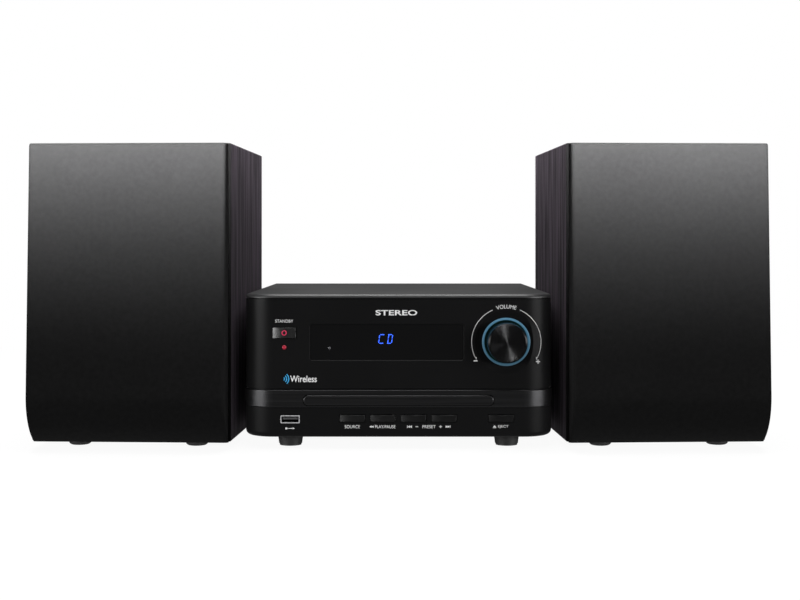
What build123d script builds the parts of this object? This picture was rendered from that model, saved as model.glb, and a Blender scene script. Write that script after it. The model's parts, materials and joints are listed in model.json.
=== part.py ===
from build123d import *

import os
from math import acos, asin, atan2, cos, pi, radians, sin, sqrt, tan

# Mini hifi system: a receiver with a motor-driven disc drawer between two bookshelf speakers.
#
# All sizes are in millimetres. In the row frame +X is to the right seen from the front, +Y runs
# to the back and +Z up, with Z = 0 on the shelf. The receiver and each speaker are drawn in a base
# plane of their own: x across, y deep from the front face, z up from the shelf.

os.makedirs("parts", exist_ok=True)

# ---------------------------------------------------------------- receiver, driving sizes
unit_w = 217.0  # width of the receiver
unit_d = 235.0  # fascia's face to the rear panel's face
unit_h = 107.5  # shelf to the top of the cover
body_bottom = 7.8  # underside of the casing
corner_r = 21.0  # plan radius of the two front corners
fascia_wall = 3.0
shell_depth = 24.0  # how far the fascia returns along the sides
fascia_top = 104.0
lid_bottom = 105.0  # the cover's plate lies on the fascia's inner lip
sheet = 1.2  # sheet steel of the chassis and rear panel
foot_h = 8.0
foot_r = 9.1
foot_x = 76.8
foot_front_y = 20.5
foot_back_y = 212.0

band_low, band_high = 28.9, 40.8  # the trim band across the fascia
band_proud = 0.8
band_seat = 1.4  # depth of the groove it lies in
band_groove_top = 41.9  # leaves a shadow line above the band
band_end_y = 16.5

window_w, window_h, window_r = 107.2, 24.9, 1.5
window_x, window_z = -8.2, 74.1
window_set_back = 0.6
window_bevel = 0.45  # round the opening in the fascia

knob_x, knob_z = 75.1, 74.3
knob_r = 13.9
knob_front = -15.0  # how far the knob stands out
knob_stem_r = 3.0
ring_outer_r, ring_inner_r = 16.8, 15.3
dish_r, dish_floor_r, dish_depth = 22.0, 17.2, 1.6

board_y = 14.5  # front of the circuit boards behind the fascia
board_t = 1.6
button_travel = 0.8
key_gap = 0.45  # round each key
flange_y = fascia_wall + 0.15
switch_tip_y = 7.5  # tip of a switch's plunger

standby_x, standby_z = -79.7, 80.7
standby_w, standby_h = 16.0, 7.3
key_w, key_h, key_z = 17.3, 4.6, 21.1
key_xs = {"source": -32.2, "play": -10.9, "previous": 10.4, "next": 31.7, "eject": 71.4}
led_z, led_r = 70.6, 1.5
usb_x, usb_z, usb_w, usb_h = -75.6, 20.4, 13.4, 5.5

# ---------------------------------------------------------------- disc drawer, driving sizes
disc_y = 80.0  # centre of the disc with the drawer shut
tray_half_w = 64.3
tray_low, tray_high = 32.0, 36.5
rack_low = 30.2  # the rack leaves through the drawer's slot with the tray
tray_back = 190.0
tray_travel = 138.0
door_half_w, door_low, door_high, door_r = 66.3, 30.2, 37.2, 3.3
slot_gap = 0.35  # round the door
loader_half_w, loader_front, loader_back = 71.0, 27.0, 205.0
loader_low, loader_high = 12.0, 43.6

gear_teeth, gear_module = 20, 1.0
gear_pitch_r = gear_teeth * gear_module / 2
gear_x, gear_y = -44.0, 45.0
pressure_angle = radians(20)
backlash = 0.35
wheel_r = 14.0  # belt wheel under the gear
motor_x, motor_y, pulley_r = -8.0, 44.0, 4.0
belt_t, belt_gap = 1.2, 0.3

pivot_y, pivot_z = 168.0, 27.0  # the pickup frame tilts about this line
sled_y = 103.0  # lens at the disc's first track
sled_travel = 35.0

# ---------------------------------------------------------------- speakers, driving sizes
cab_w, cab_h, cab_d = 140.0, 207.2, 143.0
cab_foot_h = 5.5
cab_wall, baffle_t = 9.0, 12.0
toe_out = 2.8  # degrees that each speaker is turned outwards
gap_to_receiver = 7.7  # at the cabinets' front edges
speaker_lead = 5.0  # how far those edges stand in front of the fascia

grille_w = 136.6
grille_low, grille_high = 5.2, 212.1
grille_back_y = -0.8
grille_top_y = -13.5
grille_belly_y, grille_belly_z = -21.0, 39.0
grille_toe_y = -3.0
cloth_t = 1.0
peg_r, peg_hole_r, peg_long = 3.0, 3.3, 9.0
peg_places = [(side * 57.0, z) for side in (-1, 1) for z in (24.0, 194.0)]

woofer_z, woofer_flange_r, woofer_hole_r = 76.0, 52.0, 46.5
tweeter_z, tweeter_r, tweeter_hole_r = 160.0, 29.0, 20.5
baffle_y = 0.4  # the baffle's front, behind the cabinet's front edges
driver_screws = [(x, woofer_z + dz) for x in (-34.7, 34.7) for dz in (-34.7, 34.7)]
driver_screws += [(-24.0, tweeter_z), (24.0, tweeter_z)]
gland_z, gland_r = 32.0, 4.0

# ---------------------------------------------------------------- where the three units stand
knob_to_jack_back = 9.5  # the rear jacks stand this far out of the rear panel
belly_reach = speaker_lead - grille_belly_y  # furthest point in front of the fascia
front_y = (belly_reach - unit_d - knob_to_jack_back) / 2
receiver = Plane((0, front_y, 0), x_dir=(1, 0, 0), z_dir=(0, 0, 1))


def speaker_base(side):
    """The base plane of the left (-1) or right (+1) speaker: its front's centre, turned outwards."""
    turn = radians(toe_out) * side
    edge_x = side * (unit_w / 2 + gap_to_receiver)
    centre_x = edge_x + side * cab_w / 2 * cos(turn)
    centre_y = front_y - speaker_lead + cab_w / 2 * abs(sin(turn))
    return Plane((centre_x, centre_y, 0), x_dir=(cos(turn), sin(turn), 0), z_dir=(0, 0, 1))


speakers = {"left": speaker_base(-1), "right": speaker_base(1)}


# ---------------------------------------------------------------- views and plain features
def top_view(base, z):
    """Sketch plane at height z: u across, v deep, extruding upwards."""
    return Plane(base.from_local_coords((0, 0, z)), x_dir=base.x_dir, z_dir=base.z_dir)


def front_view(base, y):
    """Sketch plane at depth y: u across, v up, extruding towards the front."""
    return Plane(base.from_local_coords((0, y, 0)), x_dir=base.x_dir, z_dir=-base.y_dir)


def side_view(base, x):
    """Sketch plane at x: u deep, v up, extruding to the right."""
    return Plane(base.from_local_coords((x, 0, 0)), x_dir=base.y_dir, z_dir=base.x_dir)


def deep_axis(base, x, z):
    """The line through (x, z) that runs from front to back."""
    return Axis(base.from_local_coords((x, 0, z)), base.y_dir)


def block(base, across, deep, up, mode=Mode.ADD):
    """A box between two limits in each direction."""
    sizes = [limits[1] - limits[0] for limits in (across, deep, up)]
    centre = [sum(limits) / 2 for limits in (across, deep, up)]
    with Locations(base.location * Location(centre)):
        Box(*sizes, mode=mode)


def rod_deep(base, x, z, radius, deep, mode=Mode.ADD):
    """A round bar that runs from front to back."""
    with BuildSketch(front_view(base, deep[1])) as section:
        with Locations((x, z)):
            Circle(radius)
    extrude(section.sketch, amount=deep[1] - deep[0], mode=mode)


def rod_up(base, x, y, radius, up, mode=Mode.ADD):
    """A standing round bar."""
    with BuildSketch(top_view(base, up[0])) as section:
        with Locations((x, y)):
            Circle(radius)
    extrude(section.sketch, amount=up[1] - up[0], mode=mode)


def rod_across(base, y, z, radius, across, mode=Mode.ADD):
    """A round bar that runs from left to right."""
    with BuildSketch(side_view(base, across[0])) as section:
        with Locations((y, z)):
            Circle(radius)
    extrude(section.sketch, amount=across[1] - across[0], mode=mode)


def slab_deep(base, x, z, width, height, corner, deep, mode=Mode.ADD):
    """A rounded rectangle in the front view, between two depths."""
    with BuildSketch(front_view(base, deep[1])) as section:
        with Locations((x, z)):
            RectangleRounded(width, height, corner)
    extrude(section.sketch, amount=deep[1] - deep[0], mode=mode)


def turned(base, x, z, outline, mode=Mode.ADD):
    """A body turned about the front-to-back line at (x, z), from (depth, radius) points."""
    with BuildSketch(side_view(base, x)) as section:
        with BuildLine():
            Polyline(*[(depth, z + radius) for depth, radius in outline], close=True)
        make_face()
    revolve(section.sketch, axis=deep_axis(base, x, z), mode=mode)


def keep(piece, name):
    """Labels a finished piece and writes it."""
    piece.part.label = name
    export_step(piece.part, f"parts/{name}.step")


# ---------------------------------------------------------------- casing of the receiver
def body_plan(inset, depth):
    """Plan of the receiver's body from its front to a depth, drawn inset, front corners round."""
    with BuildSketch(Plane.XY) as plan:
        with Locations((0, inset + unit_d)):
            Rectangle(unit_w - 2 * inset, 2 * unit_d)
        fillet(plan.vertices().group_by(Axis.Y)[0], corner_r - inset)
        with Locations((0, depth - unit_d)):
            Rectangle(2 * unit_w, 2 * unit_d, mode=Mode.INTERSECT)
    return plan.sketch


def make_top_cover():
    """Painted cover: a plate over the whole unit with a skirt down each side."""
    skirt_t = 1.3
    edge_round = 2.3
    overhang = 1.0
    plan = body_plan(0, unit_d + overhang)
    with BuildPart() as top_cover:
        with BuildSketch(top_view(receiver, lid_bottom)):
            add(plan)
        extrude(amount=unit_h - lid_bottom)
        rim = top_cover.faces().sort_by(Axis.Z)[-1].edges()
        fillet(rim.sort_by(Axis.Y)[:-1], edge_round)
        for side in (-1, 1):
            outer = side * unit_w / 2
            inner = outer - side * skirt_t
            across = (min(outer, inner), max(outer, inner))
            block(receiver, across, (shell_depth + 0.5, unit_d + 0.5), (10, lid_bottom))
        with BuildSketch(side_view(receiver, -unit_w)):
            with Locations((150, 62)):
                with GridLocations(7, 0, 14, 1):
                    SlotOverall(44, 2.4, rotation=90)
        extrude(amount=2 * unit_w, mode=Mode.SUBTRACT)
    keep(top_cover, "top_cover")


def make_front_fascia():
    """Black moulding with round corners, a groove for the band and holes for the controls."""
    floor_t = 2.8
    flange = 9.0
    lip_inset = 1.4
    through = (-2.0, fascia_wall + 1)
    outer, inner = body_plan(0, shell_depth), body_plan(fascia_wall, shell_depth + 1)
    floor_hole = body_plan(flange, shell_depth + 1)
    lip, groove = body_plan(lip_inset, shell_depth), body_plan(band_seat, shell_depth + 1)
    with BuildPart() as front_fascia:
        with BuildSketch(top_view(receiver, body_bottom)):
            add(outer)
        extrude(amount=fascia_top - body_bottom)
        underside = front_fascia.faces().sort_by(Axis.Z)[0].edges()
        fillet(underside.sort_by(Axis.Y)[:-1], 3.6)
        with BuildSketch(top_view(receiver, body_bottom + floor_t)):
            add(inner)
        extrude(amount=unit_h, mode=Mode.SUBTRACT)
        with BuildSketch(top_view(receiver, body_bottom - 1)):
            add(floor_hole)
        extrude(amount=floor_t + 2, mode=Mode.SUBTRACT)
        with BuildSketch(top_view(receiver, fascia_top)):
            add(lip)
            add(inner, mode=Mode.SUBTRACT)
        extrude(amount=lid_bottom - fascia_top)
        with BuildSketch(top_view(receiver, band_low)):
            with Locations((0, shell_depth / 2)):
                Rectangle(unit_w + 4, shell_depth + 4)
            add(groove, mode=Mode.SUBTRACT)
        extrude(amount=band_groove_top - band_low, mode=Mode.SUBTRACT)
        slab_deep(receiver, window_x, window_z, window_w, window_h, window_r, through, Mode.SUBTRACT)
        with BuildSketch(front_view(receiver, window_bevel)):
            with Locations((window_x, window_z)):
                RectangleRounded(window_w, window_h, window_r)
        extrude(amount=window_bevel, taper=-45, mode=Mode.SUBTRACT)
        turned(
            receiver,
            knob_x,
            knob_z,
            [(-1, 0), (-1, dish_r), (0, dish_r), (dish_depth, dish_floor_r), (dish_depth, 0)],
            Mode.SUBTRACT,
        )
        rod_deep(receiver, knob_x, knob_z, ring_outer_r + 0.05, through, Mode.SUBTRACT)
        hole = (standby_w + 2 * key_gap, standby_h + 2 * key_gap, 0.9)
        slab_deep(receiver, standby_x, standby_z, *hole, through, Mode.SUBTRACT)
        for x in key_xs.values():
            hole = (key_w + 2 * key_gap, key_h + 2 * key_gap, 0.7)
            slab_deep(receiver, x, key_z, *hole, through, Mode.SUBTRACT)
        rod_deep(receiver, standby_x, led_z, led_r + 0.1, through, Mode.SUBTRACT)
        slab_deep(receiver, usb_x, usb_z, usb_w + 0.4, usb_h + 0.4, 0.6, through, Mode.SUBTRACT)
        door_z = (door_low + door_high) / 2
        slot_w = 2 * (door_half_w + slot_gap)
        slot_h = door_high - door_low + 2 * slot_gap
        slab_deep(receiver, 0, door_z, slot_w, slot_h, door_r, through, Mode.SUBTRACT)
    keep(front_fascia, "front_fascia")


def make_trim_band():
    """Gunmetal band in the fascia's groove, with the drawer's slot through it."""
    seat_gap = 0.05
    end_round = 7.0
    outline, seat = body_plan(-band_proud, band_end_y), body_plan(band_seat - seat_gap, band_end_y + 1)
    with BuildPart() as trim_band:
        with BuildSketch(top_view(receiver, band_low)):
            add(outline)
            add(seat, mode=Mode.SUBTRACT)
        extrude(amount=band_high - band_low)
        with BuildSketch(side_view(receiver, -unit_w)) as profile:
            with Locations((band_end_y - unit_w / 2, (band_low + band_high) / 2)):
                Rectangle(unit_w, band_high - band_low)
            lower_end = profile.vertices().group_by(Axis.X)[-1].sort_by(Axis.Y)[0]
            fillet(lower_end, end_round)
        extrude(amount=2 * unit_w, mode=Mode.INTERSECT)
        front = trim_band.faces().filter_by(Axis.Y).sort_by(Axis.Y)[0]
        fillet(front.edges().filter_by(Axis.X), 0.5)
        door_z = (door_low + door_high) / 2
        slot_w = 2 * (door_half_w + slot_gap)
        slot_h = door_high - door_low + 2 * slot_gap
        slab_deep(receiver, 0, door_z, slot_w, slot_h, door_r, (-3, 4), Mode.SUBTRACT)
    keep(trim_band, "trim_band")


def make_chassis():
    """Folded steel tray that everything stands on, with posts for the boards."""
    half_w, tongue_half_w = unit_w / 2 - 2.7, 88.0
    low, high = foot_h, foot_h + sheet
    with BuildPart() as chassis:
        block(receiver, (-half_w, half_w), (shell_depth + 0.4, unit_d - sheet - 0.1), (low, high))
        block(receiver, (-tongue_half_w, tongue_half_w), (9.6, shell_depth + 0.4), (low, high))
        for side in (-1, 1):
            edge = sorted((side * half_w, side * (half_w - sheet)))
            block(receiver, edge, (shell_depth + 0.4, unit_d - sheet - 0.1), (high, 22))
        for x, y in ((-92, 106), (92, 106), (-70, 226), (70, 226)):
            rod_up(receiver, x, y, 3, (high, 54))
        for x in (-67, 67):
            for y in (35, 195):
                rod_up(receiver, x, y, 3.5, (high, loader_low))
        for x in (-foot_x, foot_x):
            for y in (foot_front_y, foot_back_y):
                rod_up(receiver, x, y, 1.7, (low - 1, high + 1), Mode.SUBTRACT)
    keep(chassis, "receiver_chassis")


def make_feet():
    """Four tapered feet, each with a sunk hole for its screw."""
    with BuildPart() as feet:
        for x in (-foot_x, foot_x):
            for y in (foot_front_y, foot_back_y):
                with BuildSketch(top_view(receiver, foot_h)) as wide:
                    with Locations((x, y)):
                        Circle(foot_r)
                with BuildSketch(top_view(receiver, 1.2)) as narrow:
                    with Locations((x, y)):
                        Circle(foot_r - 0.9)
                loft([narrow.sketch, wide.sketch])
                rod_up(receiver, x, y, foot_r - 1.4, (0, 1.2))
                rod_up(receiver, x, y, 1.7, (-1, foot_h + 1), Mode.SUBTRACT)
                rod_up(receiver, x, y, 3.2, (-1, 3.4), Mode.SUBTRACT)
    keep(feet, "receiver_feet")


screw_heads = [(x, z) for x in (-98, 98) for z in (16, 97)] + [(-30, 97), (30, 97)]
inlet_x, inlet_z, inlet_w, inlet_h = 86.0, 32.0, 22.0, 13.0
jack_z = 66.0
jack_xs = {"speaker": (-78, -60), "aux": (-30, -12), "aerial": (20,)}


def make_rear_panel():
    """Steel rear panel with holes for the inlet, the jacks, the screws and cooling air."""
    through = (unit_d - 5, unit_d + 5)
    with BuildPart() as rear_panel:
        half_w = unit_w / 2 - 1.5
        block(receiver, (-half_w, half_w), (unit_d - sheet, unit_d), (foot_h + sheet + 0.1, lid_bottom - 0.2))
        slab_deep(receiver, inlet_x, inlet_z, inlet_w + 0.3, inlet_h + 0.3, 2, through, Mode.SUBTRACT)
        for x, z in screw_heads:
            rod_deep(receiver, x, z, 1.65, through, Mode.SUBTRACT)
        for xs in jack_xs.values():
            for x in xs:
                rod_deep(receiver, x, jack_z, 5.1, through, Mode.SUBTRACT)
        with BuildSketch(front_view(receiver, unit_d + 1)):
            with Locations((0, 32)):
                with GridLocations(6, 0, 16, 1):
                    SlotOverall(22, 2.6, rotation=90)
        extrude(amount=sheet + 2, mode=Mode.SUBTRACT)
    keep(rear_panel, "rear_panel")


def make_receiver_screws():
    """Cross-recessed screws: six in the rear panel and one up through each foot."""
    with BuildPart() as screws:
        for x, z in screw_heads:
            rod_deep(receiver, x, z, 2.9, (unit_d, unit_d + 1.9))
            rod_deep(receiver, x, z, 1.45, (unit_d - 8, unit_d))
            for width, height in ((3.2, 0.8), (0.8, 3.2)):
                block(
                    receiver,
                    (x - width / 2, x + width / 2),
                    (unit_d + 0.7, unit_d + 3),
                    (z - height / 2, z + height / 2),
                    Mode.SUBTRACT,
                )
        for x in (-foot_x, foot_x):
            for y in (foot_front_y, foot_back_y):
                rod_up(receiver, x, y, 2.9, (1.4, 3.4))
                rod_up(receiver, x, y, 1.5, (3.4, foot_h + sheet + 1.2))
    keep(screws, "receiver_screws")


# ---------------------------------------------------------------- controls on the fascia
def make_button(name, x, z, width, height, proud):
    """Key cap whose left half rounds away, a flange behind the fascia and a stem to its switch."""
    fall_r = 48.0
    stem_end = switch_tip_y - button_travel - 0.1
    with BuildPart() as fall:
        block(receiver, (x - width, x), (-proud - 1, 3), (z - height, z + height))
        rod_up(receiver, x, fall_r - proud, fall_r, (z - height, z + height), Mode.SUBTRACT)
    with BuildPart() as button:
        slab_deep(receiver, x, z, width, height, 0.6, (-proud, flange_y))
        face = button.faces().sort_by(Axis.Y)[0]
        fillet(face.edges(), 0.3)
        add(fall.part, mode=Mode.SUBTRACT)
        flange = (width + 1.8, height + 1.4, 0.6)
        slab_deep(receiver, x, z, *flange, (flange_y, flange_y + 1))
        rod_deep(receiver, x, z, 1.6, (flange_y + 1, stem_end))
    keep(button, name)


def make_buttons():
    """The standby button and the row of five keys under the drawer."""
    make_button("standby_button", standby_x, standby_z, standby_w, standby_h, 0.7)
    for name, x in key_xs.items():
        make_button(f"{name}_button", x, key_z, key_w, key_h, 0.6)


def make_display():
    """Smoked window flush in the fascia, and the display module behind it."""
    with BuildPart() as window:
        size = (window_w - 0.3, window_h - 0.3, window_r - 0.1)
        slab_deep(receiver, window_x, window_z, *size, (window_set_back, fascia_wall))
    keep(window, "display_window")
    with BuildPart() as module:
        block(
            receiver,
            (window_x - 50, window_x + 50),
            (fascia_wall + 0.4, board_y),
            (window_z - 11, window_z + 11),
        )
        block(
            receiver,
            (window_x - 46, window_x + 46),
            (fascia_wall, fascia_wall + 1.2),
            (window_z - 8, window_z + 8),
            Mode.SUBTRACT,
        )
    keep(module, "display_module")


def make_front_boards():
    """Two circuit boards behind the fascia, above and below the drawer."""
    with BuildPart() as boards:
        block(receiver, (-94, 98), (board_y, board_y + board_t), (46, 99))
        block(receiver, (-90, 92), (board_y, board_y + board_t), (11.5, 27))
    keep(boards, "front_boards")


def make_switches():
    """Six push switches, one behind each button."""
    places = [(standby_x, standby_z)] + [(x, key_z) for x in key_xs.values()]
    with BuildPart() as switches:
        for x, z in places:
            block(receiver, (x - 3, x + 3), (board_y - 3.5, board_y), (z - 3, z + 3))
            rod_deep(receiver, x, z, 1.6, (switch_tip_y, board_y - 3.5))
    keep(switches, "tact_switches")


def make_led():
    """Light pipe of the standby lamp, domed where it shows."""
    with BuildPart() as led:
        rod_deep(receiver, standby_x, led_z, led_r, (-0.5, board_y))
        tip = led.faces().sort_by(Axis.Y)[0]
        fillet(tip.edges(), 0.7)
        rod_deep(receiver, standby_x, led_z, led_r + 0.9, (fascia_wall + 0.1, fascia_wall + 1.1))
    keep(led, "standby_led")


def make_usb():
    """Socket: a folded metal shell round a plastic tongue."""
    shell_t, mouth_y = 0.65, 0.1
    with BuildPart() as usb:
        slab_deep(receiver, usb_x, usb_z, usb_w, usb_h, 0.5, (mouth_y, board_y))
        mouth = (usb_w - 2 * shell_t, usb_h - 2 * shell_t, 0.3)
        slab_deep(receiver, usb_x, usb_z, *mouth, (mouth_y - 1, board_y - 2), Mode.SUBTRACT)
        tongue = (usb_z - 0.1, usb_z + 1.2)
        block(receiver, (usb_x - 5.3, usb_x + 5.3), (mouth_y + 0.6, board_y - 2), tongue)
    keep(usb, "usb_socket")


def make_volume_control():
    """Spun metal knob on its encoder, inside a light ring."""
    with BuildPart() as ring:
        rod_deep(receiver, knob_x, knob_z, ring_outer_r, (0.1, 5))
        rod_deep(receiver, knob_x, knob_z, ring_inner_r, (-1, 6), Mode.SUBTRACT)
        rim = ring.edges().filter_by(GeomType.CIRCLE).group_by(Axis.Y)[0]
        fillet(rim, 0.5)
    keep(ring, "knob_light_ring")
    stem_end = 9.0
    with BuildPart() as knob:
        turned(
            receiver,
            knob_x,
            knob_z,
            [
                (knob_front, 0),
                (knob_front, knob_r - 1.3),
                (knob_front + 1.0, knob_r - 0.3),
                (0.9, knob_r),
                (0.9, knob_r - 2.4),
                (-10, knob_r - 2.4),
                (-10, 5),
                (-2, 5),
                (-2, knob_stem_r),
                (stem_end, knob_stem_r),
                (stem_end, 0),
            ],
        )
    keep(knob, "volume_knob")
    with BuildPart() as encoder:
        block(receiver, (knob_x - 6.5, knob_x + 6.5), (9.2, board_y), (knob_z - 6.5, knob_z + 6.5))
        rod_deep(receiver, knob_x, knob_z, 4.6, (3.5, 9.2))
        rod_deep(receiver, knob_x, knob_z, knob_stem_r + 0.06, (2, stem_end + 1.5), Mode.SUBTRACT)
    keep(encoder, "volume_encoder")


# ---------------------------------------------------------------- disc drawer
def make_loader():
    """Moulded frame that guides the drawer, with the steel bridge that carries the clamp."""
    wall = 3.0
    inner = loader_half_w - wall
    with BuildPart() as loader:
        block(receiver, (-loader_half_w, loader_half_w), (loader_front, loader_back), (loader_low, loader_low + 2))
        block(receiver, (-30, 30), (58, 180), (loader_low - 1, loader_low + 3), Mode.SUBTRACT)
        block(receiver, (-inner, inner), (loader_back - wall, loader_back), (loader_low + 2, 29))
        for side in (-1, 1):
            walls = sorted((side * inner, side * loader_half_w))
            block(receiver, walls, (loader_front, loader_back), (loader_low + 2, loader_high))
            ledge = sorted((side * 61.0, side * inner))
            block(receiver, ledge, (loader_front, loader_back - wall), (28.4, tray_low - 0.3))
            for y in (loader_front, 100, 176):
                block(receiver, ledge, (y, y + 16), (tray_high + 0.9, tray_high + 3))
            ear = sorted((side * 26.5, side * 30.5))
            block(receiver, ear, (pivot_y - 5, pivot_y + 5), (loader_low + 2, pivot_z + 4))
            rod_across(receiver, pivot_y, pivot_z, 2.06, (ear[0] - 1, ear[1] + 1), Mode.SUBTRACT)
        for side in (-1, 1):
            foot = sorted((side * 26.5, side * 36.0))
            block(receiver, foot, (pivot_y - 5, pivot_y + 5), (loader_low, loader_low + 2))
        rod_up(receiver, gear_x, gear_y, 1.5, (loader_low + 2, 31.4))
        bridge = (loader_high, loader_high + sheet)
        block(receiver, (-loader_half_w, loader_half_w), (disc_y - 15, disc_y + 15), bridge)
        rod_up(receiver, 0, disc_y, 12, (loader_high - 1, loader_high + 3), Mode.SUBTRACT)
    keep(loader, "loader_frame")


def gear_outline():
    """Plan of a spur gear with involute flanks, a tooth pointing along -X."""
    base_r = gear_pitch_r * cos(pressure_angle)
    tip_r, root_r = gear_pitch_r + gear_module, gear_pitch_r - 1.25 * gear_module
    half_at_pitch = (pi * gear_module / 2 - backlash) / 2 / gear_pitch_r

    def flank_angle(radius):
        roll = acos(base_r / radius)
        pitch_roll = tan(pressure_angle) - pressure_angle
        return half_at_pitch + pitch_roll - (tan(roll) - roll)

    radii = [base_r + (tip_r - base_r) * step / 4 for step in range(5)]
    flank = [(root_r, flank_angle(base_r))] + [(r, flank_angle(r)) for r in radii]
    with BuildSketch(Plane.XY) as gear:
        Circle(root_r + 0.02)
        with PolarLocations(0, gear_teeth):
            with BuildLine():
                rising = [(r * cos(a), r * sin(a)) for r, a in flank]
                falling = [(r * cos(a), -r * sin(a)) for r, a in reversed(flank)]
                Polyline(*rising, *falling, close=True)
            make_face()
    return gear.sketch


def rack_outline(start_y, end_y, pitch_x):
    """Plan of a straight rack, its teeth pointing along +X from the pitch line at pitch_x."""
    pitch = pi * gear_module
    slope = tan(pressure_angle)
    half_tooth = (pitch / 2 - backlash) / 2
    tip_x, root_x, back_x = pitch_x + gear_module, pitch_x - 1.2 * gear_module, pitch_x - 3.2
    first = int((start_y - gear_y) / pitch) + 1
    last = int((end_y - gear_y) / pitch) - 1
    with BuildSketch(Plane.XY) as rack:
        with Locations(((back_x + root_x) / 2, (start_y + end_y) / 2)):
            Rectangle(root_x - back_x, end_y - start_y)
        for number in range(first, last):
            y = gear_y + (number + 0.5) * pitch
            root = half_tooth + slope * (pitch_x - root_x)
            tip = half_tooth - slope * (tip_x - pitch_x)
            with BuildLine():
                Polyline(
                    (root_x - 0.02, y - root),
                    (tip_x, y - tip),
                    (tip_x, y + tip),
                    (root_x - 0.02, y + root),
                    close=True,
                )
            make_face()
    return rack.sketch


def make_tray():
    """Sliding drawer with two disc recesses, a rack underneath, and a slot that is open behind."""
    slot_half_w = 18.0
    rack = rack_outline(36.0, tray_back - 1, gear_x - gear_pitch_r)
    with BuildPart() as tray:
        block(receiver, (-tray_half_w, tray_half_w), (1.5, tray_back), (tray_low, tray_high))
        corners = tray.edges().filter_by(Axis.Z).group_by(Axis.Y)[-1]
        fillet(corners, 6)
        rod_up(receiver, 0, disc_y, 60.6, (tray_high - 1.5, tray_high + 1), Mode.SUBTRACT)
        rod_up(receiver, 0, disc_y, 40.6, (tray_high - 2.3, tray_high), Mode.SUBTRACT)
        rod_up(receiver, 0, disc_y, slot_half_w, (tray_low - 1, tray_high), Mode.SUBTRACT)
        slot = ((-slot_half_w, slot_half_w), (disc_y, tray_back + 1), (tray_low - 1, tray_high + 1))
        block(receiver, *slot, Mode.SUBTRACT)
        with BuildSketch(top_view(receiver, rack_low)):
            add(rack)
        extrude(amount=tray_low - rack_low)
    keep(tray, "disc_tray")
    with BuildPart() as door:
        size = (2 * door_half_w, door_high - door_low, door_r)
        slab_deep(receiver, 0, (door_low + door_high) / 2, *size, (-1.4, 1.5))
        fillet(door.faces().sort_by(Axis.Y)[0].edges(), 0.7)
    keep(door, "tray_door")


def make_tray_gear():
    """Gear that drives the rack, moulded in one with its belt wheel."""
    outline = gear_outline()
    with BuildPart() as gear:
        with BuildSketch(top_view(receiver, 29.3)):
            with Locations((gear_x, gear_y)):
                add(outline)
        extrude(amount=2.4)
        rod_up(receiver, gear_x, gear_y, 6, (27, 29.3))
        rod_up(receiver, gear_x, gear_y, wheel_r + 1, (22.6, 23.4))
        rod_up(receiver, gear_x, gear_y, wheel_r, (23.4, 26.2))
        rod_up(receiver, gear_x, gear_y, wheel_r + 1, (26.2, 27))
        rod_up(receiver, gear_x, gear_y, 1.56, (20, 32), Mode.SUBTRACT)
    keep(gear, "tray_gear")


def belt_side(radius_a, radius_b, span):
    """Angle at which a taut belt leaves two wheels whose centres are a span apart."""
    return acos((radius_a - radius_b) / span)


def belt_loop(grow):
    """Plan of the belt round the gear's wheel and the motor's pulley, grown outwards."""
    big, small = wheel_r + belt_gap + grow, pulley_r + belt_gap + grow
    span_x, span_y = motor_x - gear_x, motor_y - gear_y
    span = sqrt(span_x**2 + span_y**2)
    heading, lift = atan2(span_y, span_x), belt_side(big, small, span)
    with BuildSketch(Plane.XY) as loop:
        with Locations((gear_x, gear_y)):
            Circle(big)
        with Locations((motor_x, motor_y)):
            Circle(small)
        with BuildLine():
            corners = []
            for turn in (lift, -lift):
                angle = heading + turn
                ends = [(gear_x, gear_y, big), (motor_x, motor_y, small)]
                pair = [(x + r * cos(angle), y + r * sin(angle)) for x, y, r in ends]
                corners += pair if turn > 0 else pair[::-1]
            Polyline(*corners, close=True)
        make_face()
    return loop.sketch


def make_loading_motor():
    """Loading motor, its pulley, and the belt to the gear's wheel."""
    shaft_r = 1.0
    with BuildPart() as motor:
        rod_up(receiver, motor_x, motor_y, 10.5, (loader_low + 2, 22.4))
        rod_up(receiver, motor_x, motor_y, shaft_r, (22.4, 26.6))
    keep(motor, "loading_motor")
    with BuildPart() as pulley:
        rod_up(receiver, motor_x, motor_y, pulley_r + 1, (22.7, 23.4))
        rod_up(receiver, motor_x, motor_y, pulley_r, (23.4, 26.2))
        rod_up(receiver, motor_x, motor_y, pulley_r + 1, (26.2, 26.9))
        rod_up(receiver, motor_x, motor_y, shaft_r + 0.06, (22, 28), Mode.SUBTRACT)
    keep(pulley, "motor_pulley")
    outside, inside = belt_loop(belt_t), belt_loop(0)
    with BuildPart() as belt:
        with BuildSketch(top_view(receiver, 24.2)):
            add(outside)
            add(inside, mode=Mode.SUBTRACT)
        extrude(amount=belt_t)
    keep(belt, "drive_belt")


def make_pickup_frame():
    """Steel plate that tilts under the drawer, with the spindle motor and two guide rods."""
    plate_low, plate_high = 26.5, 28.0
    with BuildPart() as frame:
        block(receiver, (-24, 24), (62, 172), (plate_low, plate_high))
        block(receiver, (-13, 13), (93, 156), (20, 30), Mode.SUBTRACT)
        rod_up(receiver, 0, disc_y, 3, (20, 30), Mode.SUBTRACT)
        for side in (-1, 1):
            block(receiver, sorted((side * 22.6, side * 24)), (160, 172), (pivot_z - 3, plate_low))
            rod_across(receiver, pivot_y, pivot_z, 2, sorted((side * 22.6, side * 31)))
        rod_up(receiver, 0, disc_y, 11, (20.2, plate_low))
        rod_up(receiver, 0, disc_y, 1.56, (22, plate_low + 1), Mode.SUBTRACT)
        for x in (-17, 17):
            block(receiver, (x - 2.5, x + 2.5), (91, 94), (21.8, plate_low))
            block(receiver, (x - 2.5, x + 2.5), (153, 156), (21.8, plate_low))
            rod_deep(receiver, x, 24, 1.5, (91, 156))
    keep(frame, "pickup_frame")


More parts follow.
